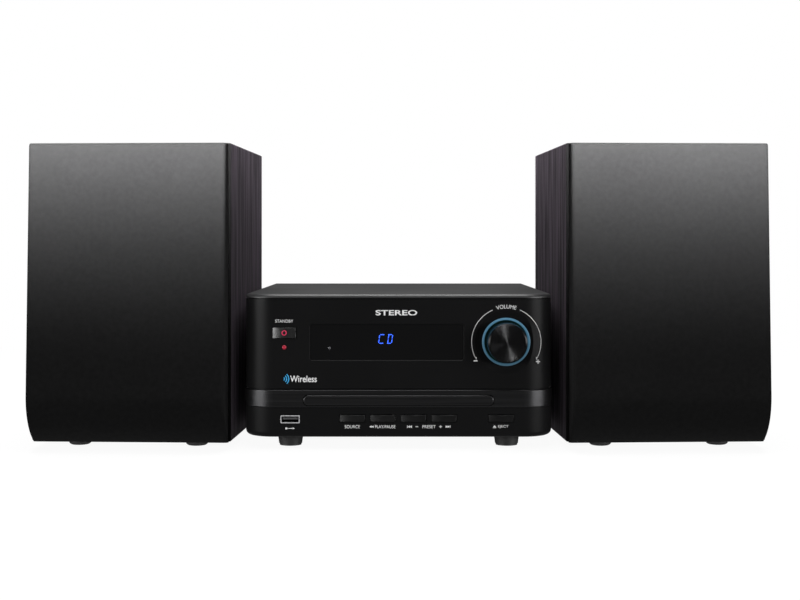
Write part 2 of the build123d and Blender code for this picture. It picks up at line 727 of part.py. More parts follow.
def make_turntable():
    """Turntable and centring cone on the spindle."""
    with BuildPart() as turntable:
        rod_up(receiver, 0, disc_y, 15, (34.2, 35.4))
        rod_up(receiver, 0, disc_y, 7.4, (35.4, 38.6))
        fillet(turntable.faces().sort_by(Axis.Z)[-1].edges(), 1.2)
        rod_up(receiver, 0, disc_y, 1.5, (22.2, 34.2))
    keep(turntable, "turntable")


def make_sled():
    """Laser sled on the guide rods, with its lens looking up."""
    with BuildPart() as sled:
        block(receiver, (-21, 21), (sled_y - 8, sled_y + 8), (21.2, 26.2))
        block(receiver, (-11, 11), (sled_y - 7, sled_y + 7), (26.2, 30.5))
        rod_up(receiver, 0, sled_y, 5, (30.5, 32.6))
        rod_up(receiver, 0, sled_y, 3, (31.8, 34), Mode.SUBTRACT)
        for x in (-17, 17):
            rod_deep(receiver, x, 24, 1.56, (sled_y - 9, sled_y + 9), Mode.SUBTRACT)
    keep(sled, "laser_sled")
    with BuildPart() as clamper:
        rod_up(receiver, 0, disc_y, 15, (38.8, 41))
        rod_up(receiver, 0, disc_y, 10, (41, 46.2))
        rod_up(receiver, 0, disc_y, 16, (46.2, 47.4))
    keep(clamper, "disc_clamper")


# ---------------------------------------------------------------- electronics of the receiver
def make_main_board():
    """Main circuit board on its four posts, with chips and capacitors."""
    low = 54.0
    top = low + board_t
    with BuildPart() as board:
        block(receiver, (-98, 98), (100, 231), (low, top))
        for x, y, w, d, h in ((-40, 130, 22, 22, 2.5), (20, 128, 14, 20, 2.2), (60, 150, 12, 12, 2)):
            block(receiver, (x - w / 2, x + w / 2), (y - d / 2, y + d / 2), (top, top + h))
        for x, y, r, h in ((-70, 150, 8, 25), (-70, 170, 8, 25), (45, 185, 5, 16), (58, 185, 5, 16)):
            rod_up(receiver, x, y, r, (top, top + h))
    keep(board, "main_board")


def make_heatsink():
    """Extruded aluminium heatsink of the amplifier, standing on the main board."""
    low, high = 54.0 + board_t, 92.0
    with BuildPart() as heatsink:
        block(receiver, (-30, 30), (178, 181), (low, high))
        for number in range(11):
            x = -30 + number * 5.85
            block(receiver, (x, x + 1.5), (181, 198), (low, high))
    keep(heatsink, "heatsink")


def make_power_supply():
    """Switching supply: its board, transformer and reservoir capacitors."""
    with BuildPart() as supply:
        block(receiver, (76, 102), (116, 216), (15, 16.6))
        for y in (120, 212):
            rod_up(receiver, 84, y, 2.5, (foot_h + sheet, 15))
        block(receiver, (78, 100), (150, 178), (16.6, 40))
        rod_up(receiver, 88, 134, 9, (16.6, 44))
        rod_up(receiver, 88, 192, 6.5, (16.6, 36))
    keep(supply, "power_supply")


def make_mains_inlet():
    """Two-pin inlet: a flanged housing with its pins in an oval recess."""
    pin_r, pin_pitch = 1.2, 8.6
    with BuildPart() as inlet:
        slab_deep(receiver, inlet_x, inlet_z, inlet_w, inlet_h, 1.8, (unit_d - 16, unit_d))
        slab_deep(receiver, inlet_x, inlet_z, inlet_w + 4, inlet_h + 3, 2.4, (unit_d, unit_d + 2))
        oval = (17.4, 9.0, 4.3)
        slab_deep(receiver, inlet_x, inlet_z, *oval, (unit_d - 11, unit_d + 3), Mode.SUBTRACT)
        for side in (-1, 1):
            rod_deep(receiver, inlet_x + side * pin_pitch / 2, inlet_z, pin_r, (unit_d - 11.5, unit_d - 1))
    keep(inlet, "mains_inlet")


def make_rear_jacks():
    """Round jacks for the speakers, a line input and the aerial, one solid each."""
    with BuildPart() as jacks:
        for xs in jack_xs.values():
            for x in xs:
                block(receiver, (x - 7, x + 7), (unit_d - 14, unit_d - sheet), (54 + board_t, jack_z + 7))
                rod_deep(receiver, x, jack_z, 5.0, (unit_d - sheet, unit_d + 1))
                rod_deep(receiver, x, jack_z, 4.15, (unit_d + 1, unit_d + knob_to_jack_back))
                rod_deep(receiver, x, jack_z, 1.6, (unit_d - 3, unit_d + 11), Mode.SUBTRACT)
    keep(jacks, "rear_jacks")


# ---------------------------------------------------------------- speakers
def make_cabinet(name, base):
    """Four mitred fibreboard walls in black ash foil, with a back panel let in between them."""
    mitre_gap = 0.03
    half, inner = cab_w / 2, cab_w / 2 - cab_wall
    low, top = cab_foot_h, cab_foot_h + cab_h
    floor, ceiling = low + cab_wall, top - cab_wall
    with BuildPart() as cabinet:
        with BuildSketch(front_view(base, cab_d)):
            for side in (-1, 1):
                with BuildLine():
                    Polyline(
                        (side * half, low + mitre_gap),
                        (side * half, top - mitre_gap),
                        (side * inner, ceiling - mitre_gap),
                        (side * inner, floor + mitre_gap),
                        close=True,
                    )
                make_face()
            for outer_z, inner_z in ((low, floor), (top, ceiling)):
                with BuildLine():
                    Polyline((-half, outer_z), (half, outer_z), (inner, inner_z), (-inner, inner_z), close=True)
                make_face()
        extrude(amount=cab_d)
        edge = inner - mitre_gap
        block(base, (-edge, edge), (cab_d - cab_wall, cab_d), (floor + mitre_gap, ceiling - mitre_gap))
        rod_deep(base, 0, gland_z, gland_r + 0.05, (cab_d - 20, cab_d + 1), Mode.SUBTRACT)
    keep(cabinet, f"{name}_cabinet")


def make_baffle(name, base):
    """Front board with holes for the two drivers, sockets for the pegs and screw holes."""
    inner = cab_w / 2 - cab_wall - 0.05
    low, top = cab_foot_h + cab_wall + 0.05, cab_foot_h + cab_h - cab_wall - 0.05
    with BuildPart() as baffle:
        block(base, (-inner, inner), (baffle_y, baffle_y + baffle_t), (low, top))
        rod_deep(base, 0, woofer_z, woofer_hole_r, (-1, 20), Mode.SUBTRACT)
        rod_deep(base, 0, tweeter_z, tweeter_hole_r, (-1, 20), Mode.SUBTRACT)
        for x, z in peg_places:
            rod_deep(base, x, z, peg_hole_r, (-1, peg_long + 1), Mode.SUBTRACT)
        for x, z in driver_screws:
            rod_deep(base, x, z, 1.6, (-1, 11), Mode.SUBTRACT)
    keep(baffle, f"{name}_baffle")


def grille_outline(inset, back_y):
    """Side view of the grille: a front that leans out to its belly and curves in to its toe."""
    top, low = grille_high - inset, grille_low + inset
    belly, toe = grille_belly_y + inset, grille_toe_y + inset
    lean = (grille_belly_y - grille_top_y, grille_belly_z - grille_high)
    with BuildSketch(Plane.XY) as outline:
        with BuildLine():
            brow = Line((back_y, top), (grille_top_y + inset, top))
            front = Line(brow @ 1, (belly, grille_belly_z))
            curl = TangentArc(front @ 1, (toe, low), tangent=lean)
            Polyline(curl @ 1, (back_y, low), (back_y, top))
        make_face()
    return outline.sketch


def make_grille(name, base):
    """Cloth wrapped over a moulded frame, which stands on four pegs in the baffle's sockets."""
    half = grille_w / 2
    rail = 9.0
    gap = 0.03
    outer, inner = grille_outline(0, grille_back_y), grille_outline(cloth_t, grille_back_y + 1)
    with BuildPart() as cloth:
        with BuildSketch(side_view(base, -half + cloth_t + gap)):
            add(outer)
            add(inner, mode=Mode.SUBTRACT)
        extrude(amount=grille_w - 2 * (cloth_t + gap))
        for x in (-half, half - cloth_t):
            with BuildSketch(side_view(base, x)):
                add(outer)
            extrude(amount=cloth_t)
    keep(cloth, f"{name}_grille_cloth")
    inside = grille_outline(cloth_t + gap, grille_back_y)
    edge = half - cloth_t - gap
    with BuildPart() as frame:
        for x in (-edge, edge - rail):
            with BuildSketch(side_view(base, x)):
                add(inside)
            extrude(amount=rail)
        across = (-edge + rail + gap, edge - rail - gap)
        block(base, across, (grille_top_y + 2, grille_back_y), (grille_high - 14, grille_high - 1.1))
        block(base, across, (grille_toe_y - 3, grille_back_y), (grille_low + 4.8, grille_low + 12))
        for x, z in peg_places:
            rod_deep(base, x, z, peg_r, (grille_back_y - 1, peg_long))
    keep(frame, f"{name}_grille_frame")


def dome_arc(apex_y, edge_y, edge_r, centre_z):
    """Arc from a dome's edge to its apex, on a sphere centred on the driver's axis."""
    rise = edge_y - apex_y
    sphere_r = (rise**2 + edge_r**2) / (2 * rise)
    half = asin(edge_r / sphere_r) / 2
    middle = (apex_y + sphere_r * (1 - cos(half)), centre_z + sphere_r * sin(half))
    return ThreePointArc((edge_y, centre_z + edge_r), middle, (apex_y, centre_z))


def make_woofer(name, base):
    """Woofer: steel basket and magnet, the cone on its coil former, and the rubber surround."""
    with BuildPart() as basket:
        turned(
            base,
            0,
            woofer_z,
            [
                (-1.6, 43.4),
                (-1.6, woofer_flange_r),
                (baffle_y, woofer_flange_r),
                (baffle_y, 46),
                (6, 46),
                (32.5, 29.5),
                (34, 29.5),
                (34, 34),
                (52, 34),
                (52, 0),
                (34, 0),
                (34, 11.3),
                (47, 11.3),
                (47, 14),
                (32.5, 14),
                (32.5, 27.6),
                (31.2, 28),
                (5, 44.4),
                (1.8, 44.4),
                (1.8, 43.4),
            ],
        )
        for x, z in driver_screws:
            rod_deep(base, x, z, 1.75, (-3, baffle_y + 1), Mode.SUBTRACT)
    keep(basket, f"{name}_woofer_basket")
    with BuildPart() as cone:
        with BuildSketch(side_view(base, 0)) as profile:
            with BuildLine():
                dome = dome_arc(8, 15.54, 20.2, woofer_z)
                hollow = dome_arc(9.2, 17.08, 18.5, woofer_z)
                Line(dome @ 1, hollow @ 1)
                former = [(22.6, 12.4), (43, 12.4), (43, 13.2), (24, 13.2)]
                rim = [(3, 37), (1.6, 37), (1.6, 35.6)]
                back = [(y, woofer_z + radius) for y, radius in former + rim]
                Polyline(hollow @ 0, *back, dome @ 0)
            make_face()
        revolve(profile.sketch, axis=deep_axis(base, 0, woofer_z))
    keep(cone, f"{name}_woofer_cone")
    with BuildPart() as surround:
        with BuildSketch(side_view(base, 0)) as roll:
            with BuildLine():
                ThreePointArc((1.4, woofer_z + 37.3), (-1.9, woofer_z + 40.2), (1.4, woofer_z + 43.1))
                Line((1.4, woofer_z + 43.1), (1.4, woofer_z + 42))
                ThreePointArc((1.4, woofer_z + 42), (-0.9, woofer_z + 40.2), (1.4, woofer_z + 38.4))
                Line((1.4, woofer_z + 38.4), (1.4, woofer_z + 37.3))
            make_face()
        revolve(roll.sketch, axis=deep_axis(base, 0, woofer_z))
    keep(surround, f"{name}_woofer_surround")


def make_tweeter(name, base):
    """Dome tweeter: a shallow horn plate with its dome, and the magnet behind."""
    dome_r = 9.5
    with BuildPart() as tweeter:
        with BuildSketch(side_view(base, 0)) as profile:
            with BuildLine():
                dome = dome_arc(-2.6, 0, dome_r, tweeter_z)
                Polyline(
                    dome @ 0,
                    (0, tweeter_z + dome_r + 1.5),
                    (-1.6, tweeter_z + 18),
                    (-1.6, tweeter_z + tweeter_r),
                    (baffle_y, tweeter_z + tweeter_r),
                    (baffle_y, tweeter_z + 20),
                    (20, tweeter_z + 20),
                    (20, tweeter_z),
                    dome @ 1,
                )
            make_face()
        revolve(profile.sketch, axis=deep_axis(base, 0, tweeter_z))
        for x, z in driver_screws:
            rod_deep(base, x, z, 1.75, (-3, baffle_y + 1), Mode.SUBTRACT)
    keep(tweeter, f"{name}_tweeter")


def make_speaker_fittings(name, base):
    """Lead gland in the back, four domed feet, and the screws of the two drivers."""
    with BuildPart() as gland:
        rod_deep(base, 0, gland_z, gland_r, (cab_d - cab_wall - 2, cab_d))
        rod_deep(base, 0, gland_z, gland_r + 2.2, (cab_d, cab_d + 1.6))
        rod_deep(base, 0, gland_z, 2.05, (cab_d - 20, cab_d + 3), Mode.SUBTRACT)
    keep(gland, f"{name}_lead_gland")
    with BuildPart() as feet:
        for x in (-42, 42):
            for y in (22, cab_d - 22):
                rod_up(base, x, y, 8, (0, cab_foot_h))
        undersides = feet.edges().filter_by(GeomType.CIRCLE).group_by(Axis.Z)[0]
        fillet(undersides, 2.6)
    keep(feet, f"{name}_speaker_feet")
    with BuildPart() as screws:
        for x, z in driver_screws:
            rod_deep(base, x, z, 3, (-3, -1.6))
            rod_deep(base, x, z, 1.5, (-1.6, 10.5))
            rod_deep(base, x, z, 0.9, (-4, -2), Mode.SUBTRACT)
    keep(screws, f"{name}_driver_screws")


make_top_cover()
make_front_fascia()
make_trim_band()
make_chassis()
make_feet()
make_rear_panel()
make_receiver_screws()
make_buttons()
make_display()
make_front_boards()
make_switches()
make_led()
make_usb()
make_volume_control()
make_loader()
make_tray()
make_tray_gear()
make_loading_motor()
make_pickup_frame()
make_turntable()
make_sled()
make_main_board()
make_heatsink()
make_power_supply()
make_mains_inlet()
make_rear_jacks()
for name, base in speakers.items():
    make_cabinet(name, base)
    make_baffle(name, base)
    make_grille(name, base)
    make_woofer(name, base)
    make_tweeter(name, base)
    make_speaker_fittings(name, base)
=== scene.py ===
import json
from math import atan, pi, radians

import bmesh
import bpy
import numpy as np
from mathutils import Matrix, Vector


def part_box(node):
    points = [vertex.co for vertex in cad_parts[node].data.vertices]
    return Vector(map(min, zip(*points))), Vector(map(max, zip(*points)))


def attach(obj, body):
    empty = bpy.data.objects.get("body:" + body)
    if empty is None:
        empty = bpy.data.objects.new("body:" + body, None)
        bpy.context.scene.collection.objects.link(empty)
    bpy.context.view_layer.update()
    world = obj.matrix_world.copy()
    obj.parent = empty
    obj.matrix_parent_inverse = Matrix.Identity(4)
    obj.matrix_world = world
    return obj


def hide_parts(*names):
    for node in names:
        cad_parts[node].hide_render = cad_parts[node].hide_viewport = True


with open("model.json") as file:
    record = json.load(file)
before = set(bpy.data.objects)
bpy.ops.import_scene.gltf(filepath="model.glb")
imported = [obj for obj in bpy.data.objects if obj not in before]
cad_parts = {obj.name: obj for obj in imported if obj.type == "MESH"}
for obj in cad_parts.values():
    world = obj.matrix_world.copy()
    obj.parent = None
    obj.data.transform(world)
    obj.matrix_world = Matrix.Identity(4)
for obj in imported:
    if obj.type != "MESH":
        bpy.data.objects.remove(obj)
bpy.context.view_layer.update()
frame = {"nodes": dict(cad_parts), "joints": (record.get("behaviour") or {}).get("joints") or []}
nodes = frame["nodes"]
joint = {row["name"]: row for row in frame["joints"]}

# ---------------------------------------------------------------- studio
# A white sweep behind and under the set, and a wide soft box overhead. Two honeycombed banks in
# front, one over the other, fade the speakers from grey at the top to black below, and a strip at
# each side draws a highlight down the receiver's round corners.
scene = bpy.context.scene
scene.view_settings.view_transform = "Standard"
fascia_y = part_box("front_fascia")[0].y

camera_back, camera_height = 0.937, 0.1454
camera_data = bpy.data.cameras.new("camera")
camera_data.sensor_width = 36
camera_data.lens = 60.5
camera_data.shift_y = -0.075
camera_data.shift_x = 0.0018
camera_data.clip_start = 0.01
camera = bpy.data.objects.new("camera", camera_data)
camera.location = (0, fascia_y - camera_back, camera_height)
camera.rotation_euler = (radians(90), 0, 0)
scene.collection.objects.link(camera)
scene.camera = camera


def soft_box(name, place, aim, size, power, spread=180):
    """A rectangular lamp at a place, turned to face the point it is aimed at."""
    lamp = bpy.data.lights.new(name, "AREA")
    lamp.shape = "RECTANGLE"
    lamp.size, lamp.size_y = size
    lamp.energy = power
    lamp.spread = radians(spread)
    holder = bpy.data.objects.new(name, lamp)
    holder.location = place
    heading = np.array(aim, float) - np.array(place, float)
    away, rise = np.hypot(heading[0], heading[1]), heading[2]
    tilt = atan(rise / away) if away > 1e-6 else -pi / 2
    turn = np.arctan2(-heading[0], heading[1]) if away > 1e-6 else 0
    holder.rotation_euler = (pi / 2 + tilt, 0, turn)
    scene.collection.objects.link(holder)
    return holder


# The lower bank's beam stops at 46 mm over the shelf, and the upper, stronger one's at 118 mm.
reach, beam, bank_width, bank_height = 0.9, 24, 2.6, 0.5
front_banks = []
for name, stop, power in (("front_bank_low", 0.046, 74), ("front_bank_high", 0.118, 165)):
    middle = stop + reach * np.tan(radians(beam) / 2) + bank_height / 2
    place, aim = (0, fascia_y - reach, middle), (0, 0, middle)
    front_banks.append(soft_box(name, place, aim, (bank_width, bank_height), power, spread=beam))
soft_box("overhead_soft_box", (0, 0.12, 1.3), (0, 0.12, 0), (1.3, 0.9), 31)
soft_box("edge_soft_box", (0, -0.75, 1.25), (0, fascia_y, 0.1), (1.2, 0.3), 5)
strips = []
for name, side in (("left_strip", -1), ("right_strip", 1)):
    place = (side * 1.03, fascia_y - 0.60, 0.10)
    strips.append(soft_box(name, place, (side * 0.095, fascia_y, 0.06), (0.80, 0.5), 16))
soft_box("back_soft_box", (0, 2.0, 1.6), (0, 0.1, 0.05), (1.8, 0.8), 1)

world = bpy.data.worlds.new("sweep")
world.use_nodes = True
scene.world = world


class Value:
    """A shader socket that the arithmetic operators work on, each adding its Math node."""

    def __init__(self, graph, socket):
        self.graph, self.socket = graph, socket

    def maths(self, operation, *others):
        return self.graph.node("ShaderNodeMath", {"operation": operation}, self, *others)

    def __add__(self, other):
        return self.maths("ADD", other)

    def __sub__(self, other):
        return self.maths("SUBTRACT", other)

    def __rsub__(self, other):
        return self * -1 + other

    def __mul__(self, other):
        return self.maths("MULTIPLY", other)

    def __pow__(self, other):
        return self.maths("POWER", other)

    def __gt__(self, other):
        return self.maths("GREATER_THAN", other)

    def absolute(self):
        return self.maths("ABSOLUTE")

    def sine(self):
        return self.maths("SINE")

    def ramp(self, low, high, start=0.0, end=1.0):
        """Runs from start to end as this value goes from low to high, and is held outside."""
        return self.graph.node("ShaderNodeMapRange", None, self, low, high, start, end)


class Graph:
    """A node tree being written: one method adds any node, another joins it to the shader."""

    def __init__(self, tree):
        self.tree = tree
        tree.nodes.clear()

    def node(self, kind, settings=None, *inputs, output=0, **named):
        """Adds a node, makes its settings, then fills its sockets by place or by name."""
        made = self.tree.nodes.new(kind)
        for key, setting in (settings or {}).items():
            setattr(made, key, setting)
        for index, value in enumerate(inputs):
            self.fill(made.inputs[index], value)
        for key, value in named.items():
            self.fill(made.inputs[key.replace("_", " ")], value)
        return Value(self, made.outputs[output] if made.outputs else None)

    def split(self, vector):
        """A vector's three parts."""
        parts = self.node("ShaderNodeSeparateXYZ", None, vector).socket.node.outputs
        return [Value(self, part) for part in parts]

    def fill(self, socket, value):
        """Links a value to a socket, or sets the socket to a plain number or colour."""
        if isinstance(value, Value):
            self.tree.links.new(value.socket, socket)
        elif value is not None:
            socket.default_value = value


# The sweep is white where the camera sees it, and a dim room to every other ray: a faint glow all
# round, a little more from each direction below.
sky = Graph(world.node_tree)
_, deep, up = sky.split(sky.node("ShaderNodeTexCoord"))
from_front = (deep * -1).ramp(-0.1, 0.5, 0.0, 0.085)
from_behind = deep.ramp(0.0, 0.8, 0.0, 0.03)
from_above = up.ramp(0.2, 1.0, 0.0, 0.06)
from_below = up.ramp(-0.15, -0.8, 0.0, 0.45)
room = from_front + 0.012 + from_behind + from_above + from_below
seen = sky.node("ShaderNodeLightPath")
strength = seen + (1 - seen) * room
background = sky.node("ShaderNodeBackground", None, (1, 1, 1, 1), strength)
sky.node("ShaderNodeOutputWorld", None, background)


def plane(name, size, height):
    """A square of the given side, level, centred under the set."""
    mesh = bpy.data.meshes.new(name)
    corners = np.array([(-1, -1), (1, -1), (1, 1), (-1, 1)]) * size / 2
    mesh.from_pydata([(x, y, height) for x, y in corners], [], [(0, 1, 2, 3)])
    made = bpy.data.objects.new(name, mesh)
    scene.collection.objects.link(made)
    return made


def material(name, build):
    """A node material: build gets the graph and returns the surface shader's value."""
    made = bpy.data.materials.new(name)
    made.use_nodes = True
    graph = Graph(made.node_tree)
    graph.node("ShaderNodeOutputMaterial", None, build(graph))
    return made


def spot(graph):
    """The point's place in the piece's own metres, as three values."""
    place = graph.node("ShaderNodeTexCoord", None, output=3)
    return place, graph.split(place)


def paper(graph):
    """White sweep paper, lit from below: a faint shadow shows near the feet, and none beyond."""
    _, (x, y, _) = spot(graph)
    near = (x * x + y * y) ** 0.5
    glow = near.ramp(0.35, 0.9, 0.93, 1.0)
    matt = graph.node("ShaderNodeBsdfDiffuse", None, (0.9, 0.9, 0.9, 1))
    lit_from_below = graph.node("ShaderNodeEmission", None, (1, 1, 1, 1), 1.0)
    return graph.node("ShaderNodeMixShader", None, glow, matt, lit_from_below)


floor = plane("floor", 12, -0.0004)
floor.data.materials.append(material("sweep_paper", paper))
floor.visible_diffuse = False
floor.visible_glossy = False


def dress(node, look):
    """Gives a CAD node its material."""
    piece = nodes[node]
    piece.data.materials.clear()
    piece.data.materials.append(look)


def finish_of(graph, **sockets):
    """A Principled shader with the given sockets."""
    return graph.node("ShaderNodeBsdfPrincipled", None, **sockets)


def grain(graph, place, scale, detail=3.0, stretch=(1, 1, 1)):
    """Noise over the piece, stretched along an axis where stretch is small."""
    drawn = graph.node("ShaderNodeMapping", None, place, Scale=stretch)
    return graph.node("ShaderNodeTexNoise", None, drawn, Scale=scale, Detail=detail)


def bumped(graph, height, distance, strength=1.0):
    """A normal that follows a height."""
    return graph.node(
        "ShaderNodeBump", None, Strength=strength, Distance=distance, Height=height
    )


def tint(graph, share, low, high):
    """Runs from one colour to another with a share from 0 to 1."""
    mixed = graph.node("ShaderNodeMix", {"data_type": "RGBA"}, share, output=2)
    mixer = mixed.socket.node
    mixer.inputs[6].default_value = (*low, 1)
    mixer.inputs[7].default_value = (*high, 1)
    return mixed


# ---------------------------------------------------------------- top cover and rear panel
# Folded steel in satin black powder paint: a fine orange peel, a little duller where hands rub it.
def powder_paint(graph):
    place, _ = spot(graph)
    peel = grain(graph, place, 900)
    cloud = grain(graph, place, 14)
    return finish_of(
        graph,
        Base_Color=tint(graph, cloud, (0.010, 0.010, 0.0104), (0.015, 0.015, 0.0156)),
        Roughness=cloud.ramp(0.3, 0.7, 0.42, 0.50),
        Normal=bumped(graph, peel, 0.00003),
    )


paint = material("black_powder_paint", powder_paint)
for node in ("top_cover", "rear_panel"):
    dress(node, paint)


# ---------------------------------------------------------------- fascia
# One injection moulding in black styrene, spark-eroded to an even satin, round at both corners.
def satin_moulding(graph):
    place, _ = spot(graph)
    spark = grain(graph, place, 2600, 2)
    cloud = grain(graph, place, 20)
    return finish_of(
        graph,
        Base_Color=tint(graph, cloud, (0.0050, 0.0050, 0.0052), (0.0062, 0.0062, 0.0064)),
        Roughness=cloud.ramp(0.3, 0.7, 0.36, 0.42),
        Specular_IOR_Level=0.06,
        Normal=bumped(graph, spark, 0.000006),
    )


def polished_moulding(graph):
    place, _ = spot(graph)
    worn = grain(graph, place, 90)
    return finish_of(
        graph,
        Base_Color=tint(graph, worn, (0.0014, 0.0014, 0.0015), (0.0022, 0.0022, 0.0023)),
        Roughness=worn.ramp(0.3, 0.7, 0.22, 0.28),
    )


dress("front_fascia", material("satin_black_moulding", satin_moulding))
key_names = ("source", "play", "previous", "next", "eject")
polished = material("polished_black_moulding", polished_moulding)
for name in ("standby", *key_names):
    dress(f"{name}_button", polished)


# ---------------------------------------------------------------- trim band and drawer door
# Plastic mouldings lacquered in gunmetal, rubbed along their length before the clear coat.
def gunmetal(graph):
    place, _ = spot(graph)
    rubbed = grain(graph, place, 240, 2, (0.04, 1, 4))
    return finish_of(
        graph,
        Base_Color=tint(graph, rubbed, (0.030, 0.030, 0.031), (0.048, 0.048, 0.0495)),
        Metallic=0.95,
        Roughness=rubbed.ramp(0.3, 0.7, 0.30, 0.38),
        Normal=bumped(graph, rubbed, 0.00001),
    )


lacquer = material("gunmetal_lacquer", gunmetal)
for node in ("trim_band", "tray_door"):
    dress(node, lacquer)


# ---------------------------------------------------------------- display
# Smoked acrylic window, polished, with a blue figure display and a remote-control eye behind it.
def smoked_acrylic(graph):
    place, _ = spot(graph)
    smear = grain(graph, place, 30)
    return finish_of(
        graph,
        Base_Color=(0.0022, 0.0022, 0.0024, 1),
        Roughness=smear.ramp(0.35, 0.75, 0.04, 0.10),
    )


dress("display_window", material("smoked_acrylic", smoked_acrylic))


def prism(name, outline, holes, front, thick):
    """A thin mark with flat front and back, from an outline and a hole in x and z.

    Outline point k is joined to hole point k, front and back, so a ring is two loops of equal
    count, and a solid mark has one inner point repeated as the hole.
    """
    outer, inner = np.asarray(outline, float), np.asarray(holes, float)
    count = len(outer)
    back = front + thick
    points = np.concatenate([
        np.column_stack([ring[:, 0], np.full(count, y), ring[:, 1]])
        for ring, y in ((outer, front), (inner, front), (inner, back), (outer, back))
    ])
    here = np.arange(count)
    after = (here + 1) % count
    faces = []
    for low in range(4):
        this, that = low * count, (low + 1) % 4 * count
        faces.append(np.column_stack([here + this, after + this, after + that, here + that]))
    mesh = bpy.data.meshes.new(name)
    mesh.from_pydata(points.tolist(), [], np.concatenate(faces).tolist())
    made = bpy.data.objects.new(name, mesh)
    scene.collection.objects.link(made)
    tidy_mesh(made)
    return made


def tidy_mesh(piece):
    """Merges doubled points and turns every face outwards."""
    work = bmesh.new()
    work.from_mesh(piece.data)
    bmesh.ops.remove_doubles(work, verts=work.verts, dist=1e-7)
    bmesh.ops.dissolve_degenerate(work, edges=work.edges, dist=1e-8)
    bmesh.ops.recalc_face_normals(work, faces=work.faces)
    work.to_mesh(piece.data)
    work.free()


def join(name, pieces, look, body):
    """Makes several marks one piece in one material, riding on one body."""
    made = pieces[0]
    chosen = {"active_object": made, "object": made, "selected_editable_objects": pieces}
    with bpy.context.temp_override(**chosen):
        bpy.ops.object.join()
    made.name = name
    made.data.name = name
    made.data.materials.clear()
    made.data.materials.append(look)
    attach(made, body)
    return made


def bar(x, z, width, height, front, thick=0.0002, lean=0.0):
    """A thin block on a front face, its top pushed sideways by lean."""
    w, h = width / 2, height / 2
    corners = np.array([(-w - lean, -h), (w - lean, -h), (w + lean, h), (-w + lean, h)]) + (x, z)
    return prism("bar", corners, np.repeat([[x, z]], 4, axis=0), front, thick)


def lit(colour, power):
    """A glowing material, slightly uneven in tone."""
    def build(graph):
        place, _ = spot(graph)
        flicker = grain(graph, place, 500)
        return finish_of(
            graph,
            Base_Color=(*colour, 1),
            Roughness=0.3,
            Emission_Color=tint(graph, flicker, tuple(c * 0.9 for c in colour), colour),
            Emission_Strength=power,
        )
    return build


# Each stroke: how far across (-1 left, 1 right) and up (-1 low, 1 high) it lies, and whether flat.
window_low, window_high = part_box("display_window")
window_y = window_low.y
figure_w, figure_h, stroke = 0.0036, 0.0060, 0.00062
slant, stroke_lean = 0.0004, 0.0002
figure_z = window_low.z + 0.0146
strokes_at = {
    "top": (0, 1, True), "bottom": (0, -1, True),
    "upper_left": (-1, 0.5, False), "upper_right": (1, 0.5, False),
    "lower_left": (-1, -0.5, False), "lower_right": (1, -0.5, False),
    "stem_upper": (-0.5, 0.5, False), "stem_lower": (-0.5, -0.5, False),
}
figures = {
    -0.0117: ("top", "bottom", "upper_left", "lower_left"),
    -0.0063: ("top", "bottom", "stem_upper", "stem_lower", "upper_right", "lower_right"),
}
strokes = []
for figure_x, on in figures.items():
    for stroke_name in on:
        side, level, flat = strokes_at[stroke_name]
        x = figure_x + side * figure_w / 2 + slant * level
        z = figure_z + level * figure_h / 2
        size = (figure_w * 0.74, stroke) if flat else (stroke, figure_h / 2 * 0.78)
        lean = 0.0 if flat else stroke_lean
        strokes.append(bar(x, z, *size, window_y - 0.00012, 0.0003, lean))
display_blue = material("display_blue", lit((0.035, 0.12, 0.9), 1.1))
join("display_figures", strokes, display_blue, "receiver")


def grid_quads(rows, columns, closed=False):
    """The faces of a grid of points, its last column joined to its first when closed."""
    index = np.arange(rows * columns).reshape(rows, columns)
    if closed:
        index = np.hstack([index, index[:, :1]])
    corners = (index[:-1, :-1], index[:-1, 1:], index[1:, 1:], index[1:, :-1])
    return np.stack(corners, axis=-1).reshape(-1, 4)


def surface(name, grid):
    """A mesh from rows of points, each row a closed loop. A row of one repeated point is a pole."""
    points = np.asarray(grid, float)
    quads = grid_quads(*points.shape[:2], closed=True)
    mesh = bpy.data.meshes.new(name)
    mesh.from_pydata(points.reshape(-1, 3).tolist(), [], quads.tolist())
    made = bpy.data.objects.new(name, mesh)
    scene.collection.objects.link(made)
    tidy_mesh(made)
    made.data.shade_smooth()
    return made


def lathe(name, centre, profile, steps=192):
    """A profile of (depth, radius) pairs turned about the front-to-back line through centre.

    Point = centre + (radius cos t, depth, radius sin t), with t once round.
    """
    depth, radius = np.asarray(profile, float).T
    turn = np.linspace(0, 2 * pi, steps, endpoint=False)
    x = centre[0] + radius[:, None] * np.cos(turn)
    z = centre[1] + radius[:, None] * np.sin(turn)
    y = np.repeat(depth[:, None], steps, axis=1)
    return surface(name, np.stack([x, y, z], axis=-1))


eye_front, eye_back = window_y - 0.0001, window_y + 0.0003
eye = lathe(
    "remote_eye",
    (-0.0482, window_low.z + 0.0082),
    [(eye_front, 0), (eye_front, 0.0009), (eye_back, 0.0012), (eye_back, 0)],
    48,
)
# The remote-control eye is no lamp: its faint grey glow is painted light.
eye.data.materials.append(material("eye_grey_painted_glow", lit((0.05, 0.05, 0.055), 0.2)))
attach(eye, "receiver")


# ---------------------------------------------------------------- volume knob and its lit ring
# Knob spun from aluminium and anodised black: turned rings on its face, a diamond-cut bright edge.
def vector_maths(graph, operation, *inputs, output=0, **named):
    """One Vector Math node."""
    settings = {"operation": operation}
    return graph.node("ShaderNodeVectorMath", settings, *inputs, output=output, **named)


